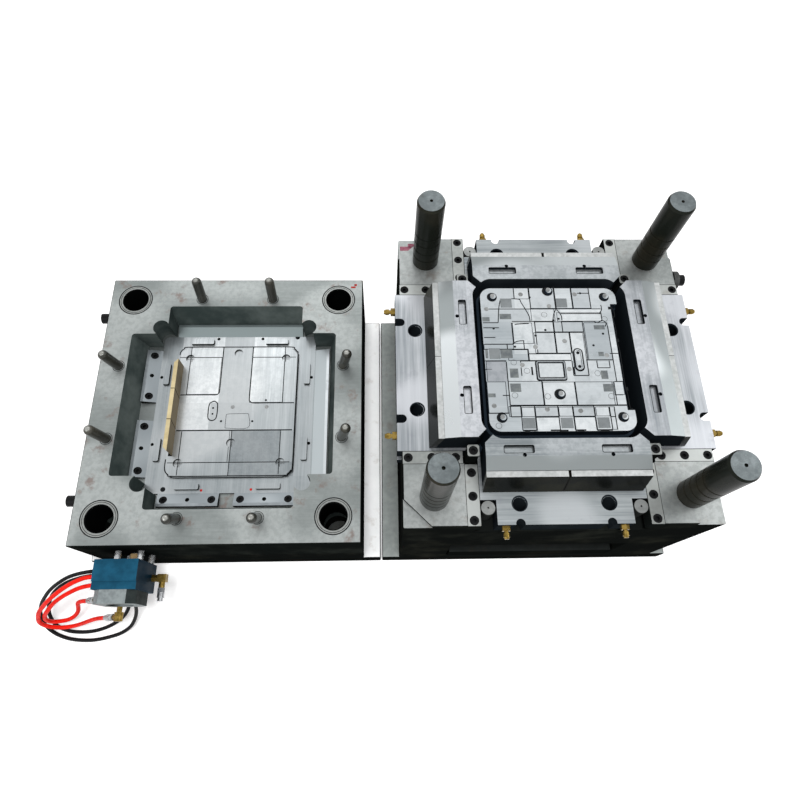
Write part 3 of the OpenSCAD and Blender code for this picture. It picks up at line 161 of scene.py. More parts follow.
def new_material(name):
    material = bpy.data.materials.new(name)
    material.use_nodes = True
    tree = material.node_tree
    tree.nodes.clear()
    out = tree.nodes.new("ShaderNodeOutputMaterial")
    shader = tree.nodes.new("ShaderNodeBsdfPrincipled")
    tree.links.new(shader.outputs["BSDF"], out.inputs["Surface"])
    return material, tree, shader


def value_node(tree, kind, **settings):
    node = tree.nodes.new(kind)
    for key, value in settings.items():
        setattr(node, key, value)
    return node


def feed(tree, node, socket, value):
    """Links an output or sets a constant on an input."""
    if isinstance(value, bpy.types.NodeSocket):
        tree.links.new(value, node.inputs[socket])
    else:
        node.inputs[socket].default_value = value


def calc(tree, operation, a, b=0.0):
    node = value_node(tree, "ShaderNodeMath", operation=operation)
    feed(tree, node, 0, a)
    feed(tree, node, 1, b)
    return node.outputs[0]


def mixed(tree, factor, a, b):
    node = value_node(tree, "ShaderNodeMix", data_type="RGBA")
    feed(tree, node, 0, factor)
    feed(tree, node, 6, a)
    feed(tree, node, 7, b)
    return node.outputs[2]


def blend_value(tree, factor, a, b):
    node = value_node(tree, "ShaderNodeMix", data_type="FLOAT")
    feed(tree, node, 0, factor)
    feed(tree, node, 2, a)
    feed(tree, node, 3, b)
    return node.outputs[0]


def noise(tree, vector, scale, detail=3.0, rough=0.5):
    node = value_node(tree, "ShaderNodeTexNoise")
    tree.links.new(vector, node.inputs["Vector"])
    node.inputs["Scale"].default_value = scale
    node.inputs["Detail"].default_value = detail
    node.inputs["Roughness"].default_value = rough
    return node.outputs["Fac"]


def ramp(tree, value, low, high, to_low=0.0, to_high=1.0):
    node = value_node(tree, "ShaderNodeMapRange", interpolation_type="SMOOTHSTEP")
    feed(tree, node, "Value", value)
    node.inputs["From Min"].default_value = low
    node.inputs["From Max"].default_value = high
    node.inputs["To Min"].default_value = to_low
    node.inputs["To Max"].default_value = to_high
    return node.outputs["Result"]


def srgb(hexa):
    """A colour as it is written, made linear."""
    def lin(c):
        return c / 12.92 if c <= 0.04045 else ((c + 0.055) / 1.055) ** 2.4
    return tuple(lin(int(hexa[i:i + 2], 16) / 255) for i in (0, 2, 4)) + (1.0,)


def new_group(name, inputs, outputs):
    group = bpy.data.node_groups.new(name, "ShaderNodeTree")
    for label, kind, value in inputs:
        socket = group.interface.new_socket(label, in_out="INPUT", socket_type=kind)
        if value is not None:
            socket.default_value = value
    for label, kind in outputs:
        group.interface.new_socket(label, in_out="OUTPUT", socket_type=kind)
    return group, group.nodes.new("NodeGroupInput"), group.nodes.new("NodeGroupOutput")


def build_ground_face():
    """Mask of the faces that lie up and at or above a level: these are the ground ones."""
    group, given, made = new_group("ground_face", [("Level", "NodeSocketFloat", 0.0)],
        [("Mask", "NodeSocketFloat"), ("Slope", "NodeSocketFloat")])
    place = group.nodes.new("ShaderNodeTexCoord").outputs["Object"]
    split = group.nodes.new("ShaderNodeSeparateXYZ")
    group.links.new(place, split.inputs[0])
    above = calc(group, "SUBTRACT", split.outputs["Z"], given.outputs["Level"])
    high = ramp(group, above, -0.0006, -0.0001)
    facing = group.nodes.new("ShaderNodeNewGeometry").outputs["True Normal"]
    tilt = group.nodes.new("ShaderNodeSeparateXYZ")
    group.links.new(facing, tilt.inputs[0])
    up = ramp(group, tilt.outputs["Z"], 0.80, 0.95)
    group.links.new(calc(group, "MULTIPLY", high, up), made.inputs["Mask"])
    group.links.new(ramp(group, tilt.outputs["Z"], 0.997, 0.985), made.inputs["Slope"])
    return group


def build_painted_side_shade():
    """Mask of the faces that look to the right, for a painted shade on that side."""
    group, _, made = new_group("painted_side_shade", [], [("Mask", "NodeSocketFloat")])
    split = group.nodes.new("ShaderNodeSeparateXYZ")
    group.links.new(group.nodes.new("ShaderNodeTexCoord").outputs["Normal"], split.inputs[0])
    group.links.new(ramp(group, split.outputs["X"], 0.3, 0.8), made.inputs["Mask"])
    return group


def build_machining():
    """Tool marks: fine lines, broad passes and worn, oily patches, and a broad mask for a painted sheen."""
    group, given, made = new_group("machining", [("Stretch", "NodeSocketVector", (1.0, 40.0, 1.0)),
        ("Pitch", "NodeSocketFloat", 30.0)],
        [("Lines", "NodeSocketFloat"), ("Passes", "NodeSocketFloat"), ("Patches", "NodeSocketFloat"),
        ("Stains", "NodeSocketFloat"), ("Sheen", "NodeSocketFloat"), ("Mottle", "NodeSocketFloat")])
    place = group.nodes.new("ShaderNodeTexCoord").outputs["Object"]
    scaled = group.nodes.new("ShaderNodeVectorMath")
    scaled.operation = "MULTIPLY"
    group.links.new(place, scaled.inputs[0])
    group.links.new(given.outputs["Stretch"], scaled.inputs[1])
    lines = value_node(group, "ShaderNodeTexNoise")
    group.links.new(scaled.outputs[0], lines.inputs["Vector"])
    group.links.new(given.outputs["Pitch"], lines.inputs["Scale"])
    lines.inputs["Detail"].default_value = 2.0
    lines.inputs["Roughness"].default_value = 0.6
    passes = value_node(group, "ShaderNodeTexNoise")
    group.links.new(scaled.outputs[0], passes.inputs["Vector"])
    group.links.new(calc(group, "MULTIPLY", given.outputs["Pitch"], 0.16), passes.inputs["Scale"])
    passes.inputs["Detail"].default_value = 1.0
    group.links.new(lines.outputs["Fac"], made.inputs["Lines"])
    group.links.new(passes.outputs["Fac"], made.inputs["Passes"])
    group.links.new(noise(group, place, 9.0, 4.0, 0.6), made.inputs["Patches"])
    group.links.new(noise(group, place, 22.0, 6.0, 0.65), made.inputs["Stains"])
    group.links.new(noise(group, place, 7.0, 0.0, 0.5), made.inputs["Sheen"])
    group.links.new(noise(group, place, 85.0, 5.0, 0.7), made.inputs["Mottle"])
    return group


# Half the width in metres over which the blocks' tones are laid out
BLOCKS_REACH = 0.2


def build_block_tone_and_reflection(name, centre, rows):
    """How bright each fitted block is: its own ground tone together with a painted reflection, block by block.

    The rows run from the back, each with its lowest y and its blocks' left x and tone, in mm."""
    group, _, made = new_group(name, [], [("Tone", "NodeSocketFloat")])
    place = group.nodes.new("ShaderNodeTexCoord").outputs["Object"]
    split = group.nodes.new("ShaderNodeSeparateXYZ")
    group.links.new(place, split.inputs[0])
    share = 0.5 / BLOCKS_REACH
    off = calc(group, "SUBTRACT", split.outputs["X"], centre - BLOCKS_REACH)
    across = calc(group, "MULTIPLY", off, share)
    tone = None
    for low, blocks in reversed(rows):
        row = value_node(group, "ShaderNodeValToRGB")
        group.links.new(across, row.inputs["Fac"])
        row.color_ramp.interpolation = "CONSTANT"
        stops = row.color_ramp.elements
        while len(stops) < len(blocks):
            stops.new(1.0)
        for stop, (x, level) in zip(stops, blocks):
            stop.position = (x / 1000 + BLOCKS_REACH) * share
            stop.color = (level, level, level, 1.0)
        if tone is None:
            tone = row.outputs["Color"]
        else:
            above = calc(group, "GREATER_THAN", split.outputs["Y"], low / 1000)
            tone = mixed(group, above, tone, row.outputs["Color"])
    group.links.new(tone, made.inputs["Tone"])
    return group


GROUND_FACE = build_ground_face()
PAINTED_SIDE_SHADE = build_painted_side_shade()
MACHINING = build_machining()
CORE_BLOCK_TONE_AND_REFLECTION = build_block_tone_and_reflection("core_block_tone_and_reflection", 0.0, [
    (115, [(-200, 0.5), (-75, 0.75), (-41, 0.6), (15, 0.9), (53, 0.5), (92, 0.7)]),
    (84, [(-200, 0.45), (-46, 0.8), (5, 0.6), (23, 1.0), (112, 0.6)]),
    (57, [(-200, 0.3), (-86, 0.9), (-36, 0.8), (5, 0.5), (22, 0.45), (68, 0.3), (122, 0.8)]),
    (6, [(-200, 0.35), (-86, 0.9), (-36, 0.65), (5, 0.75), (36, 0.9), (68, 0.3), (122, 1.0)]),
    (-10, [(-200, 0.4), (-56, 1.0), (34, 0.8), (68, 0.35), (122, 1.0)]),
    (-58, [(-200, 0.2), (-105, 0.6), (-75, 0.75), (34, 0.5), (66, 0.7), (122, 0.9)]),
    (-112, [(-200, 0.3), (-105, 0.55), (-34, 0.85), (34, 0.6), (116, 0.8)]),
    (-137, [(-200, 0.4), (-105, 0.6), (-84, 0.8), (-56, 0.5), (-8, 0.8), (22, 0.55), (66, 0.8), (98, 0.6)]),
    (-200, [(-200, 0.5), (-55, 0.9), (-8, 0.7), (22, 0.95), (66, 0.7), (108, 0.8)])])
CAVITY_BLOCK_TONE_AND_REFLECTION = build_block_tone_and_reflection("cavity_block_tone_and_reflection", CAVITY_X, [
    (20, [(-200, 0.4), (-151, 0.75), (-123, 1.0), (-41, 0.5), (37, 0.95), (121, 0.8), (155, 0.5)]),
    (-54, [(-200, 0.4), (-154, 0.85), (-60, 0.45), (45, 0.6), (155, 0.5)]),
    (-137, [(-200, 0.4), (-154, 0.5), (-123, 0.5), (0, 0.08), (121, 0.4), (155, 0.5)]),
    (-171, [(-200, 0.4), (-154, 0.5), (0, 0.15), (155, 0.5)]),
    (-230, [(-200, 0.4), (180, 0.45)])])


def place_group(tree, group, **values):
    node = tree.nodes.new("ShaderNodeGroup")
    node.node_tree = group
    for key, value in values.items():
        feed(tree, node, key, value)
    return node.outputs


def axes_of(tree):
    """The object's own X, Y and Z."""
    split = tree.nodes.new("ShaderNodeSeparateXYZ")
    tree.links.new(tree.nodes.new("ShaderNodeTexCoord").outputs["Object"], split.inputs[0])
    return split.outputs["X"], split.outputs["Y"], split.outputs["Z"]


def add_bump(tree, shader, height, strength, distance):
    bump = tree.nodes.new("ShaderNodeBump")
    bump.inputs["Strength"].default_value = strength
    bump.inputs["Distance"].default_value = distance
    tree.links.new(height, bump.inputs["Height"])
    tree.links.new(bump.outputs["Normal"], shader.inputs["Normal"])


SEAM_SHADE = "14130f"
# How far the blocks' tones and painted reflections darken the faces
BLOCK_TONE_AND_REFLECTION_SHARE = 0.8
# How far the painted sheen lightens the faces
SHEEN_SHARE = 0.75


def steel(name, bright, dull, stain, level=-1.0, stretch=(1.0, 1.0, 1.0), pitch=30.0, rough=0.34,
        side="151817", side_worn="24241f", side_rough=0.5, slope=None, contrast=0.25, stain_amount=0.4,
        cloud=0.35, sheen=None, metal=0.88, pocket=None, mottle=0.0, mottle_level=-1.0, blocks=None,
        block_dull=None, gloss=0.0, seams=None, inner=None):
    """Ground or milled steel: bright face above its level, its own finish on the slopes with a painted
    highlight along them, dark flanks that are partly oiled steel and partly painted shade.

    pocket is the half width and half length within which the flanks have the two wall colours, a lighter
    painted shade than the outer flanks.
    inner is a middle x, a half width and the shade of the faces within it.
    seams is an axis, the places along it, a half width, a lean and the height where the lean is nil."""
    material, tree, shader = new_material(name)
    face = place_group(tree, GROUND_FACE, Level=level)
    marks = place_group(tree, MACHINING, Stretch=stretch, Pitch=pitch)
    tone = blend_value(tree, 0.5, marks["Lines"], marks["Passes"])
    top = mixed(tree, ramp(tree, tone, 0.5 - contrast, 0.5 + contrast), srgb(dull), srgb(bright))
    clouds = calc(tree, "MULTIPLY", ramp(tree, marks["Patches"], 0.42, 0.68), cloud)
    top = mixed(tree, clouds, top, srgb(dull))
    # A broad painted sheen: lighter patches that stand for reflections in the ground faces.
    if sheen:
        broad = calc(tree, "MULTIPLY", ramp(tree, marks["Sheen"], 0.38, 0.62), SHEEN_SHARE)
        top = mixed(tree, broad, top, srgb(sheen))
    # Each block's ground tone and painted reflection: the darker blocks lean toward block_dull.
    if blocks:
        dark = calc(tree, "SUBTRACT", 1.0, place_group(tree, blocks)["Tone"])
        top = mixed(tree, calc(tree, "MULTIPLY", dark, BLOCK_TONE_AND_REFLECTION_SHARE), top, srgb(block_dull))
    if mottle:
        amount = calc(tree, "MULTIPLY", ramp(tree, marks["Mottle"], 0.42, 0.60), mottle)
        if mottle_level > 0.0:
            high = calc(tree, "GREATER_THAN", axes_of(tree)[2], mottle_level)
            amount = calc(tree, "MULTIPLY", amount, high)
        top = mixed(tree, amount, top, srgb(dull))
    soiled = calc(tree, "MULTIPLY", ramp(tree, marks["Stains"], 0.56, 0.70), stain_amount)
    top = mixed(tree, soiled, top, srgb(stain))
    # The slopes take their own finish, with a painted highlight that brightens and fades along them.
    if slope:
        band = mixed(tree, ramp(tree, marks["Sheen"], 0.40, 0.60), srgb(slope[0]), srgb(slope[1]))
        top = mixed(tree, face["Slope"], top, band)
    # Flank colours: partly dark oiled steel, partly a painted shade.
    flank = mixed(tree, ramp(tree, marks["Patches"], 0.45, 0.75), srgb(side), srgb(side_worn))
    # Inside the cavity pocket the walls take lighter colours, a lesser painted shade than the outer flanks.
    if pocket:
        half_w, half_l, wall, wall_worn = pocket
        x, y = axes_of(tree)[:2]
        across = calc(tree, "ABSOLUTE", calc(tree, "SUBTRACT", x, CAVITY_X))
        along = calc(tree, "ABSOLUTE", y)
        inside = calc(tree, "MULTIPLY", calc(tree, "LESS_THAN", across, half_w),
            calc(tree, "LESS_THAN", along, half_l))
        walls = mixed(tree, ramp(tree, marks["Patches"], 0.35, 0.7), srgb(wall), srgb(wall_worn))
        flank = mixed(tree, inside, flank, walls)
    if inner:
        middle, half, shade = inner
        off = calc(tree, "ABSOLUTE", calc(tree, "SUBTRACT", axes_of(tree)[0], middle))
        within = calc(tree, "LESS_THAN", off, half)
        top = mixed(tree, within, top, srgb(shade))
    # Flanks, and faces that lie up below the level, take the flank colour with its painted shade.
    colour = mixed(tree, face["Mask"], flank, top)
    if seams:
        axis, places, half, lean, crest = seams
        place = axes_of(tree)
        lower = calc(tree, "SUBTRACT", place[2], crest)
        leaned = calc(tree, "ADD", place[axis], calc(tree, "MULTIPLY", lower, lean))
        for at in places:
            off = calc(tree, "ABSOLUTE", calc(tree, "SUBTRACT", leaned, at))
            near = calc(tree, "LESS_THAN", off, half)
            colour = mixed(tree, near, colour, srgb(SEAM_SHADE))
    tree.links.new(colour, shader.inputs["Base Color"])
    tree.links.new(blend_value(tree, face["Mask"], 0.0, metal), shader.inputs["Metallic"])
    uneven = calc(tree, "ADD", rough - 0.08, calc(tree, "MULTIPLY", marks["Patches"], 0.18))
    tree.links.new(blend_value(tree, face["Mask"], side_rough, uneven), shader.inputs["Roughness"])
    shader.inputs["Specular IOR Level"].default_value = gloss
    add_bump(tree, shader, marks["Lines"], 0.03, 0.0005)
    return material


def plain_metal(name, colour, other, metallic=0.9, rough=0.3, scale=40.0, side_shade_colour=None, gloss=0.15):
    """A small part's metal, paint or inlay: two close shades in patches, and a painted shade on its right
    side.
    """
    material, tree, shader = new_material(name)
    place = tree.nodes.new("ShaderNodeTexCoord").outputs["Object"]
    patches = noise(tree, place, scale, 4.0, 0.6)
    surface = mixed(tree, ramp(tree, patches, 0.35, 0.68), srgb(colour), srgb(other))
    # painted shade: faces that look to the right are darkened toward this colour
    if side_shade_colour:
        surface = mixed(tree, place_group(tree, PAINTED_SIDE_SHADE)["Mask"], surface, srgb(side_shade_colour))
    tree.links.new(surface, shader.inputs["Base Color"])
    tree.links.new(ramp(tree, patches, 0.2, 0.8, rough - 0.08, rough + 0.12), shader.inputs["Roughness"])
    shader.inputs["Metallic"].default_value = metallic
    shader.inputs["Specular IOR Level"].default_value = gloss
    return material


def hose_rubber(name, colour, worn):
    """Hose cover with worn patches and a fine grain."""
    material, tree, shader = new_material(name)
    place = tree.nodes.new("ShaderNodeTexCoord").outputs["Object"]
    patches = noise(tree, place, 60.0, 5.0, 0.6)
    tree.links.new(mixed(tree, ramp(tree, patches, 0.45, 0.75), srgb(colour), srgb(worn)),
        shader.inputs["Base Color"])
    tree.links.new(ramp(tree, patches, 0.3, 0.7, 0.32, 0.5), shader.inputs["Roughness"])
    shader.inputs["Specular IOR Level"].default_value = 0.15
    add_bump(tree, shader, noise(tree, place, 500.0, 2.0, 0.5), 0.15, 0.0004)
    return material


plate_top = steel("plate_steel_core", "a6abaa", "858a89", "857a70", level=PLATE_GROUND, pitch=120.0,
    rough=0.42, side="131514", side_worn="262824", side_rough=0.4, stain_amount=0.5, cloud=0.4,
    sheen="bcc0bf", mottle=0.4)
plate_cavity = steel("plate_steel_cavity", "a0a6a5", "7f8584", "80706a", level=CAVITY_GROUND,
    stretch=(1.0, 14.0, 1.0), pitch=12.0, rough=0.40, side="141716", side_worn="272a27", stain_amount=0.75,
    cloud=0.5, sheen="b6bbba", contrast=0.45, mottle=0.3, pocket=(0.29, 0.30, "363f3e", "59615f"))
plate_low = steel("plate_steel_low", "8c8f8d", "6c706e", "5f5349", level=0.0, pitch=60.0, rough=0.45,
    side="131514", side_worn="262722", side_rough=0.4, stain_amount=0.5)
# The ejector plates are darkened, as they lie under the support plate: a painted shade.
plate_shaded = steel("plate_steel_shaded", "303332", "252827", "37322b", level=0.0, pitch=60.0, rough=0.45,
    side="101211", side_worn="1c1b18", stain_amount=0.5, metal=0.3)
# The cavity clamp plate's ledge top is near white and not metal: a painted reflection.
ledge_cavity_highlit = steel("ledge_steel_cavity_highlit", "fafbfb", "f0f2f2", "a89d92", level=LEDGE_GROUND, pitch=60.0,
    rough=0.45, side="101211", side_worn="1c1b18", stain_amount=0.3, metal=0.0)
# The core ledge's top is darker between the spacer blocks, under the mould: a painted shade.
ledge_core = steel("ledge_steel_core", "a5aba9", "878d8b", "7a6f66", level=LEDGE_GROUND, pitch=60.0,
    rough=0.45, side="101211", side_worn="1c1b18", stain_amount=0.4, metal=0.0, inner=(0.0, 0.30, "191c1b"))
insert_cavity = steel("insert_steel_cavity", "e2e7e9", "a9b0b3", "8d9498", level=CAVITY_GROUND,
    stretch=(30.0, 1.0, 1.0), pitch=9.0, rough=0.30, side="1c2220", contrast=0.3, stain_amount=0.15,
    cloud=0.15, sheen="eff2f3", mottle=0.25, blocks=CAVITY_BLOCK_TONE_AND_REFLECTION, block_dull="656d71")
insert_core = steel("insert_steel_core", "e0e6e9", "b0b7ba", "8b9194", level=CORE_TOP,
    stretch=(1.0, 30.0, 1.0), pitch=9.0, rough=0.30, side="1c232a", side_worn="252e37", side_rough=0.35,
    contrast=0.3, stain_amount=0.3, cloud=0.3, sheen="e4e8ea", mottle=0.3, blocks=CORE_BLOCK_TONE_AND_REFLECTION,
    block_dull="858f96")
slide_across = steel("slide_steel_lr", "c6cace", "8d9398", "8b8c96", level=SLIDE_GROUND,
    stretch=(40.0, 1.0, 1.0), pitch=8.0, rough=0.30, slope=("8a9091", "c6cbcd"), side="1b2024",
    side_worn="262b2f", contrast=0.22, stain_amount=0.3, cloud=0.3, sheen="d3d6db", mottle=0.35,
    mottle_level=0.47)
slide_along = steel("slide_steel_fb", "b4babc", "7d8488", "898a94", level=SLIDE_GROUND,
    stretch=(1.0, 40.0, 1.0), pitch=8.0, rough=0.30, slope=("8f9596", "b9bfc1"), side="1b2024",
    side_worn="262b2f", contrast=0.22, stain_amount=0.3, cloud=0.3, sheen="bfc4c7", mottle=0.35,
    mottle_level=0.47)
strip_steel = steel("strip_steel", "abafad", "8e9290", "8b8379", level=PARTING_Z, pitch=120.0, rough=0.38,
    stain_amount=0.4, cloud=0.45, sheen="c2c6c4")
block_steel = steel("corner_block_steel", "a7aaa8", "868a88", "7d736a", level=0.50, pitch=120.0, rough=0.36)
wedge_steel = steel("wedge_steel", "a2a9ad", "8c9397", "757b7f", level=CAVITY_GROUND, pitch=60.0,
    side="1c201f", slope=("8c9397", "a3aaae"))
bar_steel = steel("locking_bar_steel", "e4e9ec", "c6cdd0", "868c90", level=CAVITY_GROUND,
    stretch=(30.0, 1.0, 1.0), pitch=9.0, side="1c201f", slope=("b8c0c3", "e9edef"), mottle=0.3,
    inner=(CAVITY_X, 0.2, "8a9596"))
blade_bronze = steel("blade_bronze", "cdbf98", "b0a079", "857450", level=CAVITY_GROUND, pitch=60.0,
    rough=0.42, side="857b68", side_worn="6a6150", side_rough=0.45, metal=0.3, cloud=0.3,
    seams=(1, (0.0427, -0.0387), 0.0009, -0.25, 0.2615))
lifter_steel = steel("lifter_steel", "8d9294", "7a7f81", "6d7173", level=HEAD_GROUND, pitch=120.0,
    side="26292a", side_worn="323637")
wear_steel = steel("wear_plate_steel", "d6d8d8", "a9adac", "77726a", level=HEAD_GROUND, pitch=120.0,
    side="131514", side_worn="26261f", side_rough=0.25, stain_amount=0.2, gloss=0.05,
    seams=(0, (0.0,), 0.0028, 0.0, 0.5))
pillar_steel = steel("pillar_steel", "8b9395", "656c6e", "4b4a44", level=0.6615, pitch=120.0, side="191c18",
    side_worn="2a2820", side_rough=0.24, mottle=0.6, gloss=0.07)
return_steel = steel("return_pin_steel", "a9acab", "868988", "6c6761", level=0.30, pitch=120.0,
    side="2a2c2b", side_worn="3a3b39", mottle=0.4)
# The bushes' flanks, their bores, are near black: a painted shade inside them.
bush_steel = steel("bush_steel", "a4a7a5", "828684", "6f6a62", level=CAVITY_TOP, pitch=120.0, side="070808",
    side_worn="0d0e0e", side_rough=0.45)
# The angle pins' tops above 0.338 m take the light colours: partly worn steel, partly a painted highlight.
angle_pin_steel = steel("angle_pin_steel", "b9bab6", "8f908b", "5d5850", level=0.338, pitch=120.0,
    rough=0.25, side="2b2c28", side_worn="48463e", side_rough=0.2, gloss=0.35)
chrome_bar = plain_metal("chrome_bar", "e4e6e7", "cbced0", rough=0.2, scale=60.0)
bright_steel = plain_metal("bright_steel", "a4a6a6", "7f8181", rough=0.28, scale=60.0)
dull_steel = plain_metal("dull_steel", "565858", "464847", metallic=0.7, rough=0.5, scale=60.0)
black_oxide = plain_metal("black_oxide", "08090a", "131415", metallic=0.1, rough=0.42, scale=120.0)
# Dark for split lines, holes and slots, and for the painted shadows round raised rims, buttons and key
# pockets.
dark_joint_and_shadow = plain_metal("dark_joint_and_shadow", "0b0d0e", "15181a", metallic=0.0, rough=0.6, scale=200.0)
grey_inlay = plain_metal("grey_inlay", "767b7b", "62676a", metallic=0.6, rough=0.5, scale=90.0)
light_inlay = plain_metal("light_inlay", "a3a7ac", "92979c", metallic=0.8, rough=0.4, scale=60.0)
bronze = plain_metal("sawn_bronze", "b59a70", "8d7754", metallic=0.5, rough=0.45, scale=50.0)
brass = plain_metal("turned_brass", "9b8244", "6d5a28", metallic=0.9, rough=0.28, scale=90.0)
nickel = plain_metal("nickel_plate", "b9bbbd", "8d8f91", rough=0.2, scale=80.0)
# The cylinder's body and end cap are darker on their right sides: a painted shade.
blue_enamel = plain_metal("blue_enamel", "1c4e67", "153e53", metallic=0.0, rough=0.4, scale=30.0,
    side_shade_colour="052333", gloss=0.04)
cap_iron = plain_metal("machined_iron", "8b9394", "798082", metallic=0.5, rough=0.5, scale=80.0,
    side_shade_colour="1e2524", gloss=0.04)
red_paint = plain_metal("red_paint", "b42820", "8c1f1a", metallic=0.0, rough=0.5, scale=90.0)
plum_paint = plain_metal("plum_paint", "7b4152", "93646f", metallic=0.0, rough=0.6, scale=140.0)
red_rubber = hose_rubber("red_hose_rubber", "e81c0c", "c01a0e")
black_rubber = hose_rubber("black_hose_rubber", "0a0b0c", "1c1d1f")

FINISHES = {
    "cavity_clamp_plate": ledge_cavity_highlit, "hot_runner_plate": plate_low, "locating_ring": dull_steel,
    "sprue_bush": dull_steel, "manifold": bronze, "nozzles": bright_steel, "cavity_plate": plate_cavity,
    "guide_bushes": bush_steel, "angle_pins": angle_pin_steel, "cavity_insert": insert_cavity,
    "cavity_panels": insert_cavity, "bronze_blade": blade_bronze, "wedge_blocks": wedge_steel,
    "locking_bars": bar_steel, "cavity_cap_screws": black_oxide, "cylinder_posts": chrome_bar,
    "cylinder_body": blue_enamel, "cylinder_end_cap": cap_iron, "pull_rod": bright_steel,
    "rod_coupling": bronze, "port_elbows": brass, "quick_couplers": nickel,
    "core_clamp_plate": ledge_core, "spacer_blocks": plate_low, "support_plate": plate_low,
    "core_plate": plate_top, "support_pillars": dull_steel, "ejector_base_plate": plate_shaded,
    "ejector_retainer_plate": plate_shaded, "ejector_pins": bright_steel, "return_pins": return_steel,
    "core_insert": insert_core, "core_panels": insert_core, "core_pins": bright_steel,
    "lifters_front": lifter_steel, "lifters_back": lifter_steel, "lifters_left": lifter_steel,
    "guide_pillars": pillar_steel, "gib_strips": strip_steel, "gib_screws": black_oxide,
    "corner_blocks": block_steel, "slide_left": slide_across, "slide_right": slide_across,
    "slide_front": slide_along, "slide_back": slide_along, "wear_plates_left": wear_steel,
    "wear_plates_right": wear_steel, "wear_plates_front": wear_steel, "wear_plates_back": wear_steel,
    "nipples_left": brass, "nipples_right": brass, "nipples_front": brass, "nipples_back": brass,
    "mould_strap": dull_steel, "strap_screw": black_oxide,
}


def finish_nodes():
    for name, material in FINISHES.items():
        slots = nodes[name].material_slots
        if not len(slots):
            nodes[name].data.materials.append(material)
        for slot in slots:
            slot.material = material
    for name, hose in hoses.items():
        hose.data.materials.append(red_rubber if name.startswith("red") else black_rubber)


finish_nodes()


# Split lines: body, height of the face, width and the lines' ends, in mm
JOINTS = {
    "core_joints": ("core_half", CORE_FACE, 2.1, [
        (-75, 172, -75, 140), (-41, 170, -41, 115), (53, 168, 53, 115), (92, 168, 92, 115),
        (53, 154.8, 92, 154.8), (-139, 115, 113, 115), (-148, 81, -115, 81), (-85, 84, -35, 84),
        (-86, 81, -86, 29.1), (-148, 68.7, -114.3, 68.7), (-148, 45.2, -123.6, 45.2),
        (-148, 29.1, -89.6, 29.1), (-100, 29.1, -100, 16.9), (-63.9, 38.3, -63.9, 16.9),
        (-150, 16.9, -56, 16.9), (-56, 16.9, -56, -10.9), (-36, 84, -36, 7), (-42, 84, 5, 84),
        (22.9, 103.2, 112, 103.2), (22.9, 84, 92, 84), (112, 106, 112, 88.2), (5, 84, 5, 7),
        (22.9, 84, 22.9, 58), (-34, 57, 66, 57), (36, 57, 36, 7), (68, 83, 68, -9.1), (-55, 6, 34, 6),
        (-55, -10.1, 33, -10.1), (-75, -10.9, -36, -10.9), (-105, -12.9, -105, -111),
        (-75, -10.9, -75, -45), (34, -45, 66, -45), (34, -10.9, 34, -45), (66, -45, 66, -9.1),
        (66, -9.1, 122, -9.1), (86.7, -10.9, 86.7, -27.4), (86.4, -27.4, 112, -27.4),
        (113, -10.9, 113, -27.5), (117.1, 6, 135.1, 6), (122, 73, 122, -59), (117.3, -59, 135.1, -59),
        (113, -89, 130.4, -89), (-34, -58, -34, -111), (34, -59, 34, -111), (115.7, -59, 115.7, -112),
        (-105, -112, -105, -136.1), (-84, -113, -84, -165.1), (-56, -113, -56, -165.1),
        (-8, -113, -8, -165.1), (22.1, -113, 22.1, -165.1), (66, -113, 66, -165.1), (98, -115, 98, -165.1),
        (108, -115, 108, -165.1), (-150, -128.1, -109, -128.1), (-105, -136.1, -85, -136.1),
        (-55, -136.9, -8, -136.9), (22.1, -136.9, 66, -136.9), (97, -136.9, 108, -136.9),
        (-150, -10.1, -105, -10.1), (-118.6, -89, -105, -89), (-150, -29.8, -136.4, -29.8)]),
    "core_main_joints": ("core_half", CORE_FACE, 3.2, [(14.9, 171.9, 14.9, 115), (-105, -112, 135.1, -112),
        (-28, -165.5, -8, -165.5), (22, -165.5, 44, -165.5), (66, -165.5, 98, -165.5),
        (-84, -165.5, -56, -165.5)]),
    "cavity_joints": ("cavity_half", PANEL_FACE, 1.9, [
        (-151, 148, -42, 148), (37, 148, 149.5, 148), (-149.4, -137, 146.8, -137), (-123, 179, -123, 43),
        (121, 178, 121, 20), (0, -54, 0, -169.7), (-123, -57.4, -123, -168.5), (121, -59.4, 121, -167.6)]),
    "cavity_main_joints": ("cavity_half", PANEL_FACE, 3.2, [(-137, -54, 149, -54)]),
}

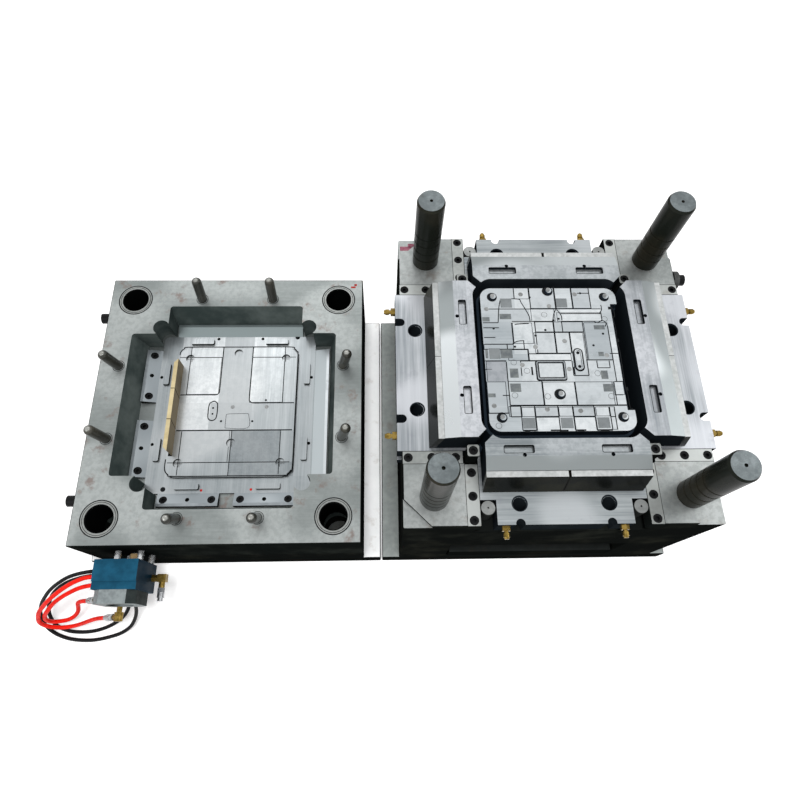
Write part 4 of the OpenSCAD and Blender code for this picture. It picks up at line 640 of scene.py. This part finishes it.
JOINT_CURVES = {
    "core_curved_joints": ("core_half", CORE_FACE, 2.1, [
        [(-114.9, 81.2), (-111.5, 111.6), (-107.7, 130.8), (-101.9, 139.4), (-66.4, 140.1), (-60.5, 130.8),
        (-50.8, 109.5), (-46, 96.2), (-45.5, 84.8)],
        [(5.3, 85.4), (6.5, 96), (14.1, 113.2), (23.6, 99.8), (24.4, 86.5)],
        [(-89.6, 28.5), (-77.5, 35.8), (-62.6, 37.2)],
        [(114.5, 124.6), (114.6, 113), (108.1, 103.4)],
        [(92.1, 84.4), (101.6, 80.6), (112.4, 86.3), (119.7, 78.7), (116.3, 71.2)],
        [(-78.9, 75.5), (-75.4, 77.3), (-48.7, 79.2)],
        [(135.1, 118), (141, 112), (141, 96), (137, 92), (139, 60), (137, 37), (139.5, 8), (138, -58),
        (140.5, -90), (141, -118), (146, -120)]]),
    "cavity_curved_joints": ("cavity_half", PANEL_FACE, 2.8, [
        [(-40.2, 178.7), (-40.2, 120), (-40.2, 56), (-42, 46.7), (-48, 42), (-70, 42), (-138.3, 42)],
        [(36.8, 178.4), (36.8, 100), (36.8, 33.3), (39, 24.1), (48, 19), (80, 19), (150.6, 19)],
        [(-152, 155), (-150, 166), (-142, 174), (-130, 178), (0, 178), (130, 178), (144, 173), (152, 163),
        (154.5, 150), (154.5, 0), (154.5, -146), (151, -158), (143, -167), (130, -171), (0, -171),
        (-130, -171), (-143, -167), (-151, -158), (-153.5, -146), (-153.5, -128)],
        [(-51, 24.7), (-43.3, 20), (-41, 10), (-41, -14), (-44, -24), (-52, -27.8), (-60.4, -24),
        (-63, -14), (-63, 10), (-60, 20), (-51, 24.7)]]),
    "cavity_fine_joints": ("cavity_half", PANEL_FACE, 1.1, [
        [(-17.4, -48), (-17.4, -17.3), (-14, -11), (10, -10), (34.5, -10), (39, -15), (39, -48),
        (-17.4, -48)]]),
}


# The places of the pins and lifters that move through the core's face, and how far their holes reach
EJECTORS = [(-60, 152), (60, 152), (-138, 115), (-138, -112), (110, 2), (-30, -120), (38, -124), (-40, 22),
    (24, 36), (26, -30), (-72, -20), (0, 122)]
LIFTERS = [(-70, -151), (7, -151), (82, -151), (-94, 131), (28, 131), (-129, 7)]
MOVING_HEADS = [(x - reach, y - reach, x + reach, y + reach)
    for heads, reach in ((EJECTORS, 5.6), (LIFTERS, 12.6)) for x, y in heads]


def covered_span(a, b, box):
    """The share of the line from a to b that lies over a box, as where it starts and ends."""
    start, end = 0.0, 1.0
    for i in (0, 1):
        step = b[i] - a[i]
        if abs(step) < 1e-6:
            if not box[i] < a[i] < box[i + 2]:
                return None
        else:
            near, far = sorted(((box[i] - a[i]) / step, (box[i + 2] - a[i]) / step))
            start, end = max(start, near), min(end, far)
    return (start, end) if start < end else None


def clear_stretches(run):
    """The stretches of a run that stay clear of the pins and lifters, which move."""
    stretches = []
    current = [run[0]]
    for a, b in zip(run, run[1:]):
        spans = sorted(span for span in (covered_span(a, b, box) for box in MOVING_HEADS) if span)
        for start, end in spans:
            if start > 0.0:
                current.append((a[0] + (b[0] - a[0]) * start, a[1] + (b[1] - a[1]) * start))
            if len(current) > 1:
                stretches.append(current)
            current = [(a[0] + (b[0] - a[0]) * end, a[1] + (b[1] - a[1]) * end)]
        if not spans or spans[-1][1] < 1.0:
            current.append(b)
        else:
            current = [b]
    if len(current) > 1:
        stretches.append(current)
    return stretches


def middle_of(body):
    return CAVITY_X if body == "cavity_half" else 0.0


# A split line's height as a share of its width
JOINT_FLATNESS = 0.35


def press_flat(name, data, level, share):
    """The curve as a mesh, its height scaled about the face that it lies on."""
    bpy.ops.object.select_all(action="DESELECT")
    piece = bpy.data.objects.new(name, data)
    scene.collection.objects.link(piece)
    piece.select_set(True)
    bpy.context.view_layer.objects.active = piece
    bpy.ops.object.convert(target="MESH")
    bpy.ops.object.mode_set(mode="EDIT")
    bpy.ops.mesh.select_all(action="SELECT")
    bpy.ops.transform.resize(value=(1.0, 1.0, share), center_override=(0.0, 0.0, level / 1000))
    bpy.ops.object.mode_set(mode="OBJECT")
    return bpy.context.object


def dress(piece, body, material):
    piece.data.materials.append(material)
    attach(piece, body)


def add_joint_lines(name, body, level, width, runs, smooth=False):
    """Dark split lines between fitted pieces, a hair proud of the face they lie on."""
    data = new_curve(name, width / 2000, 1)
    data.use_fill_caps = True
    shift = middle_of(body)
    lines = [spline_points([Vector(point) for point in run], 4) if smooth else run for run in runs]
    if body == "core_half":
        lines = [part for line in lines for part in clear_stretches([tuple(point) for point in line])]
    for run in lines:
        add_line(data, [(x / 1000 + shift, y / 1000, level / 1000) for x, y in run])
    dress(press_flat(name, data, level, JOINT_FLATNESS), body, dark_joint_and_shadow)


for name, (body, level, width, lines) in JOINTS.items():
    add_joint_lines(name, body, level, width, [[(a, b), (c, d)] for a, b, c, d in lines])
for name, (body, level, width, lines) in JOINT_CURVES.items():
    add_joint_lines(name, body, level, width, lines, smooth=True)


def add_inlays(name, body, level, boxes, material, proud=0.0003):
    """Flat fitted blocks, each x, y, width and length in mm, with broken edges."""
    shift = middle_of(body)
    bpy.ops.object.select_all(action="DESELECT")
    for i, (x, y, w, l) in enumerate(boxes):
        place = (x / 1000 + shift, y / 1000, level / 1000 - proud)
        bpy.ops.mesh.primitive_plane_add(size=1.0, location=(0.0, 0.0, 0.0))
        if i == 0:
            bpy.ops.object.mode_set(mode="EDIT")
        bpy.ops.transform.resize(value=(w / 1000, l / 1000, 1.0), center_override=(0.0, 0.0, 0.0))
        bpy.ops.transform.translate(value=place)
        bpy.ops.mesh.select_all(action="DESELECT")
    bpy.ops.mesh.select_all(action="SELECT")
    bpy.ops.mesh.extrude_region_move(TRANSFORM_OT_translate={"value": (0.0, 0.0, 2 * proud)})
    bpy.ops.mesh.select_all(action="SELECT")
    bpy.ops.mesh.normals_make_consistent(inside=False)
    bpy.ops.object.mode_set(mode="OBJECT")
    piece = bpy.context.object
    piece.name = name
    edge = piece.modifiers.new("broken_edges", "BEVEL")
    edge.width = proud * 0.8
    edge.segments = 2
    bpy.ops.object.modifier_apply(modifier="broken_edges")
    dress(piece, body, material)


add_inlays("core_grey_inlays", "core_half", CORE_FACE, [(-98.1, 96.3, 25, 13.3), (-140.8, 89.6, 16, 10.6),
    (-144.9, 6.5, 5.6, 21), (-103, 6.5, 25.5, 21), (-90.6, -38.8, 17.6, 21), (-90.4, -71.9, 22, 18.9),
    (98.7, -43.4, 14.5, 19.3), (102.4, -73, 20.8, 17.2), (98.4, 4.8, 11.6, 10.2), (103.3, 69.3, 23.4, 10.5),
    (-140.8, -88.7, 15, 8.5)], grey_inlay)
add_inlays("core_light_inlays", "core_half", CORE_FACE, [(-126.5, -34.5, 40, 45.5)], light_inlay)
add_inlays("edge_notches", "core_half", CORE_FACE, [(138.5, 37.5, 6, 8), (140.5, -75.7, 6, 8),
    (134, 117, 9, 7), (-75, -167, 10, 5), (-1, -167, 18, 5), (33, -167, 14, 5), (82, -167, 18, 5)],
    dark_joint_and_shadow)
add_inlays("island_frame_field", "core_half", CORE_FACE, [(-12.3, -33.2, 50, 30)], insert_core)
add_inlays("core_slots", "core_half", CORE_FACE, [(-52.5, -34, 3.6, 19), (35.2, -34, 3.4, 18)], dark_joint_and_shadow)


def ring_path(x, y, radius, steps=32):
    """Points round a circle, the first one again at the end."""
    turns = [math.tau * i / steps for i in range(steps + 1)]
    return [(x + radius * math.cos(turn), y + radius * math.sin(turn)) for turn in turns]


BUSH_PLACES = [(x, y) for x in (-262, 262) for y in (-284, 284)]
FRONT_PINS = [(x, y) for x in (-91, 91) for y in (-286, 286)]
SIDE_PINS = [(x, y) for x in (-277, 277) for y in (-95, 95)]
add_joint_lines("bush_outer_lines", "cavity_half", PLATE_FACE, 2.6,
    [ring_path(x, y, 42.0) for x, y in BUSH_PLACES])
add_joint_lines("bush_inner_lines", "cavity_half", PLATE_FACE, 1.2,
    [ring_path(x, y, 37.5) for x, y in BUSH_PLACES])
add_joint_lines("pin_seat_lines", "cavity_half", PLATE_FACE, 1.4,
    [ring_path(x, y, 14.5) for x, y in FRONT_PINS + SIDE_PINS])


# How deep in mm the discs stand in the face, so that no gap shows under them
DISC_SUNK = 0.5


def add_discs(name, body, places, level, radius, height, material, broken=0.1, socket=0.0):
    """Round heads or plugs, each x and y in mm, standing height above level.

    broken is the width of the chamfer round the top, socket the radius of a socket in it."""
    shift = middle_of(body)
    bpy.ops.object.select_all(action="DESELECT")
    bpy.ops.mesh.primitive_circle_add(vertices=32, radius=radius / 1000, fill_type="NGON",
        location=(0.0, 0.0, 0.0))
    bpy.ops.object.mode_set(mode="EDIT")
    bpy.ops.mesh.select_all(action="SELECT")
    rise = (height + DISC_SUNK) / 1000
    bpy.ops.mesh.extrude_region_move(TRANSFORM_OT_translate={"value": (0.0, 0.0, rise)})
    bpy.ops.mesh.inset(thickness=broken / 1000, depth=broken / 1000)
    if socket:
        bpy.ops.mesh.inset(thickness=(radius - broken - socket) / 1000, depth=0.0)
        bpy.ops.mesh.inset(thickness=0.0001, depth=-0.35 * socket / 1000)
    bpy.ops.mesh.select_all(action="SELECT")
    bpy.ops.mesh.normals_make_consistent(inside=False)
    bpy.ops.object.mode_set(mode="OBJECT")
    first = bpy.context.object
    made = []
    for x, y in places:
        piece = first.copy()
        piece.data = first.data.copy()
        scene.collection.objects.link(piece)
        piece.location = (x / 1000 + shift, y / 1000, (level - DISC_SUNK) / 1000)
        made.append(piece)
    bpy.data.objects.remove(first)
    bpy.ops.object.select_all(action="DESELECT")
    for piece in made:
        piece.select_set(True)
    bpy.context.view_layer.objects.active = made[0]
    bpy.ops.object.transform_apply(location=True, rotation=False, scale=False)
    if len(made) > 1:
        bpy.ops.object.join()
    piece = bpy.context.object
    piece.name = name
    piece.data.name = name
    dress(piece, body, material)


BOSSES = [(-124, 145), (0, 160), (124, 145), (0, -87), (-124, -138), (124, -138)]
# Dark discs round the boss buttons, set off to one side: partly the gap round each button, partly a painted
# shadow.
add_discs("boss_shadow_discs", "core_half", BOSSES, CORE_FACE - 0.6, 10.9, 0.3, dark_joint_and_shadow, broken=0.2)
add_discs("boss_buttons", "core_half", [(x + 1.5, y - 1.0) for x, y in BOSSES], CORE_FACE - 0.4, 7.6, 4.5,
    insert_core, broken=1.4, socket=2.4)
add_discs("core_small_holes", "core_half", [(-14.5, 62.9), (-36.8, 49.3), (109.4, 53.6), (84.9, 25.6),
    (-83.6, 23), (72.7, 154.8), (-125.9, 67), (5.4, 86.6), (17.5, 90.3), (-40.7, 144.3)], CORE_FACE, 2.6,
    0.15, dark_joint_and_shadow)
FACE_RINGS = [(-13, 100.7), (-63.5, -33.7), (84.7, -39.8), (-89.4, -14), (-93.5, -89), (-25.8, -91.8),
    (106, -91.9), (118, 90), (-131.8, -155)]
add_joint_lines("ejector_outlines", "core_half", CORE_FACE, 0.7, [ring_path(x, y, 6.0) for x, y in FACE_RINGS])
add_discs("cavity_small_holes", "cavity_half", [(-28.8, -29.8), (48.8, -30.4), (79, 26.4)], PANEL_FACE, 2.8,
    0.15, dark_joint_and_shadow)
add_discs("land_plugs", "cavity_half", [(150, 210), (-153.4, -200.8)], LAND_FACE, 6.0, 0.15, dark_joint_and_shadow)
add_discs("paint_dots", "cavity_half", [(-62, -204), (56.8, -203)], LAND_FACE, 3.2, 0.1, red_paint,
    broken=0.05)
add_inlays("corner_paint_dab", "core_half", CORNER_FACE, [(-306, 322, 30, 12), (-292, 331, 20, 10)],
    plum_paint, proud=0.0002)
add_inlays("plate_paint_dab", "cavity_half", PLATE_FACE, [(300, 322, 12, 5), (306, 329, 7, 6)], red_paint,
    proud=0.0002)


def add_raised_frame(name, body, level, outline, width, height, material):
    """A raised rim along a closed outline, with a rounded top."""
    shift = middle_of(body)
    data = new_curve(name, width / 2000, 2)
    line = add_line(data, [(x / 1000 + shift, y / 1000, level / 1000) for x, y in outline])
    line.use_cyclic_u = True
    dress(press_flat(name, data, level, 2 * height / width), body, material)


def rounded_outline(x, y, w, l, r, steps=5):
    """Points round a rectangle with rounded corners, centred on x and y."""
    made = []
    for k, (sx, sy) in enumerate([(1, 1), (-1, 1), (-1, -1), (1, -1)]):
        for i in range(steps + 1):
            turn = math.pi / 2 * (k + i / steps)
            made.append((x + sx * (w / 2 - r) + r * math.cos(turn), y + sy * (l / 2 - r) + r * math.sin(turn)))
    return made


add_raised_frame("island_rim", "core_half", CORE_FACE, rounded_outline(-12.3, -33.2, 58, 40, 3), 3.2, 2.2,
    insert_core)
add_raised_frame("island_rim_shadow", "core_half", CORE_FACE, rounded_outline(-12.7, -33.6, 61, 44, 4), 3.6,
    0.5, dark_joint_and_shadow)
add_raised_frame("island_inner_shadow", "core_half", CORE_FACE,
    rounded_outline(-12.3, -32.6, 52.5, 34.5, 2), 2.4, 0.4, dark_joint_and_shadow)
add_raised_frame("boss_loop", "core_half", CORE_FACE, rounded_outline(49, -8, 13, 46, 6.4), 3.2, 1.8,
    insert_core)
add_raised_frame("boss_loop_shadow", "core_half", CORE_FACE, rounded_outline(49, -8.4, 18, 51.5, 8.9), 3.4,
    0.5, dark_joint_and_shadow)
add_discs("loop_holes", "core_half", [(49, 8), (49, -24)], CORE_FACE, 3.6, 0.2, dark_joint_and_shadow)

# The pockets for the locking keys, two in each slide's top, each with a painted shade line round its edge
KEY_POCKETS = {"slide_left": (-192, 102, 16, 60), "slide_right": (192, 102, 16, 60),
    "slide_front": (97.5, -207.5, 60, 16), "slide_back": (97.5, 207.5, 60, 16)}
for body, (x, y, w, l) in KEY_POCKETS.items():
    places = [(x, y), (x, -y)] if w < l else [(x, y), (-x, y)]
    edges = [rounded_outline(u, v, w, l, 3) for u, v in places]
    add_joint_lines(body + "_pocket_shade_lines", body, SLIDE_FACE, 1.3, [edge + edge[:1] for edge in edges])


def add_floor():
    bpy.ops.object.select_all(action="DESELECT")
    bpy.ops.mesh.primitive_plane_add(size=30.0, location=(0.0, 0.0, -0.0005))
    floor = bpy.context.object
    floor.name = "studio_floor"
    material, tree, shader = new_material("studio_floor")
    shader.inputs["Base Color"].default_value = (0.9, 0.9, 0.9, 1.0)
    shader.inputs["Roughness"].default_value = 0.9
    shader.inputs["Emission Color"].default_value = (1.0, 1.0, 1.0, 1.0)
    rays = tree.nodes.new("ShaderNodeLightPath")
    glow = calc(tree, "MULTIPLY", rays.outputs["Is Camera Ray"], 0.35)
    tree.links.new(glow, shader.inputs["Emission Strength"])
    floor.data.materials.append(material)


def add_world():
    world = bpy.data.worlds.new("studio")
    scene.world = world
    world.use_nodes = True
    tree = world.node_tree
    tree.nodes.clear()
    out = tree.nodes.new("ShaderNodeOutputWorld")
    back = tree.nodes.new("ShaderNodeBackground")
    rays = tree.nodes.new("ShaderNodeLightPath")
    seen = calc(tree, "MAXIMUM", rays.outputs["Is Camera Ray"],
        calc(tree, "MAXIMUM", rays.outputs["Is Glossy Ray"], rays.outputs["Is Transmission Ray"]))
    back.inputs["Color"].default_value = (1.0, 1.0, 1.0, 1.0)
    tree.links.new(blend_value(tree, seen, 0.45, 1.0), back.inputs["Strength"])
    tree.links.new(back.outputs[0], out.inputs["Surface"])


def add_lamp(name, place, size, power, target, mirrored=True):
    data = bpy.data.lights.new(name, "AREA")
    data.shape = "RECTANGLE"
    data.size = size[0]
    data.size_y = size[1]
    data.energy = power
    lamp = bpy.data.objects.new(name, data)
    scene.collection.objects.link(lamp)
    lamp.location = place
    lamp.visible_glossy = mirrored
    aim = (Vector(target) - Vector(place)).to_track_quat("-Z", "Y")
    lamp.rotation_euler = aim.to_euler()


add_floor()
add_world()
add_lamp("key_light", (-0.9, 2.4, 3.2), (1.8, 1.2), 8.0, (-0.3, 0.0, 0.3))
add_lamp("left_light", (-2.6, -1.6, 2.6), (1.4, 1.4), 14.0, (-0.5, 0.0, 0.3))
add_lamp("right_light", (2.8, 0.6, 2.6), (1.4, 1.4), 17.0, (0.0, 0.0, 0.4))
add_lamp("top_light", (-0.35, -0.6, 3.2), (0.7, 0.7), 80.0, (-0.35, -0.1, 0.0), mirrored=False)

scene.view_settings.view_transform = "Standard"
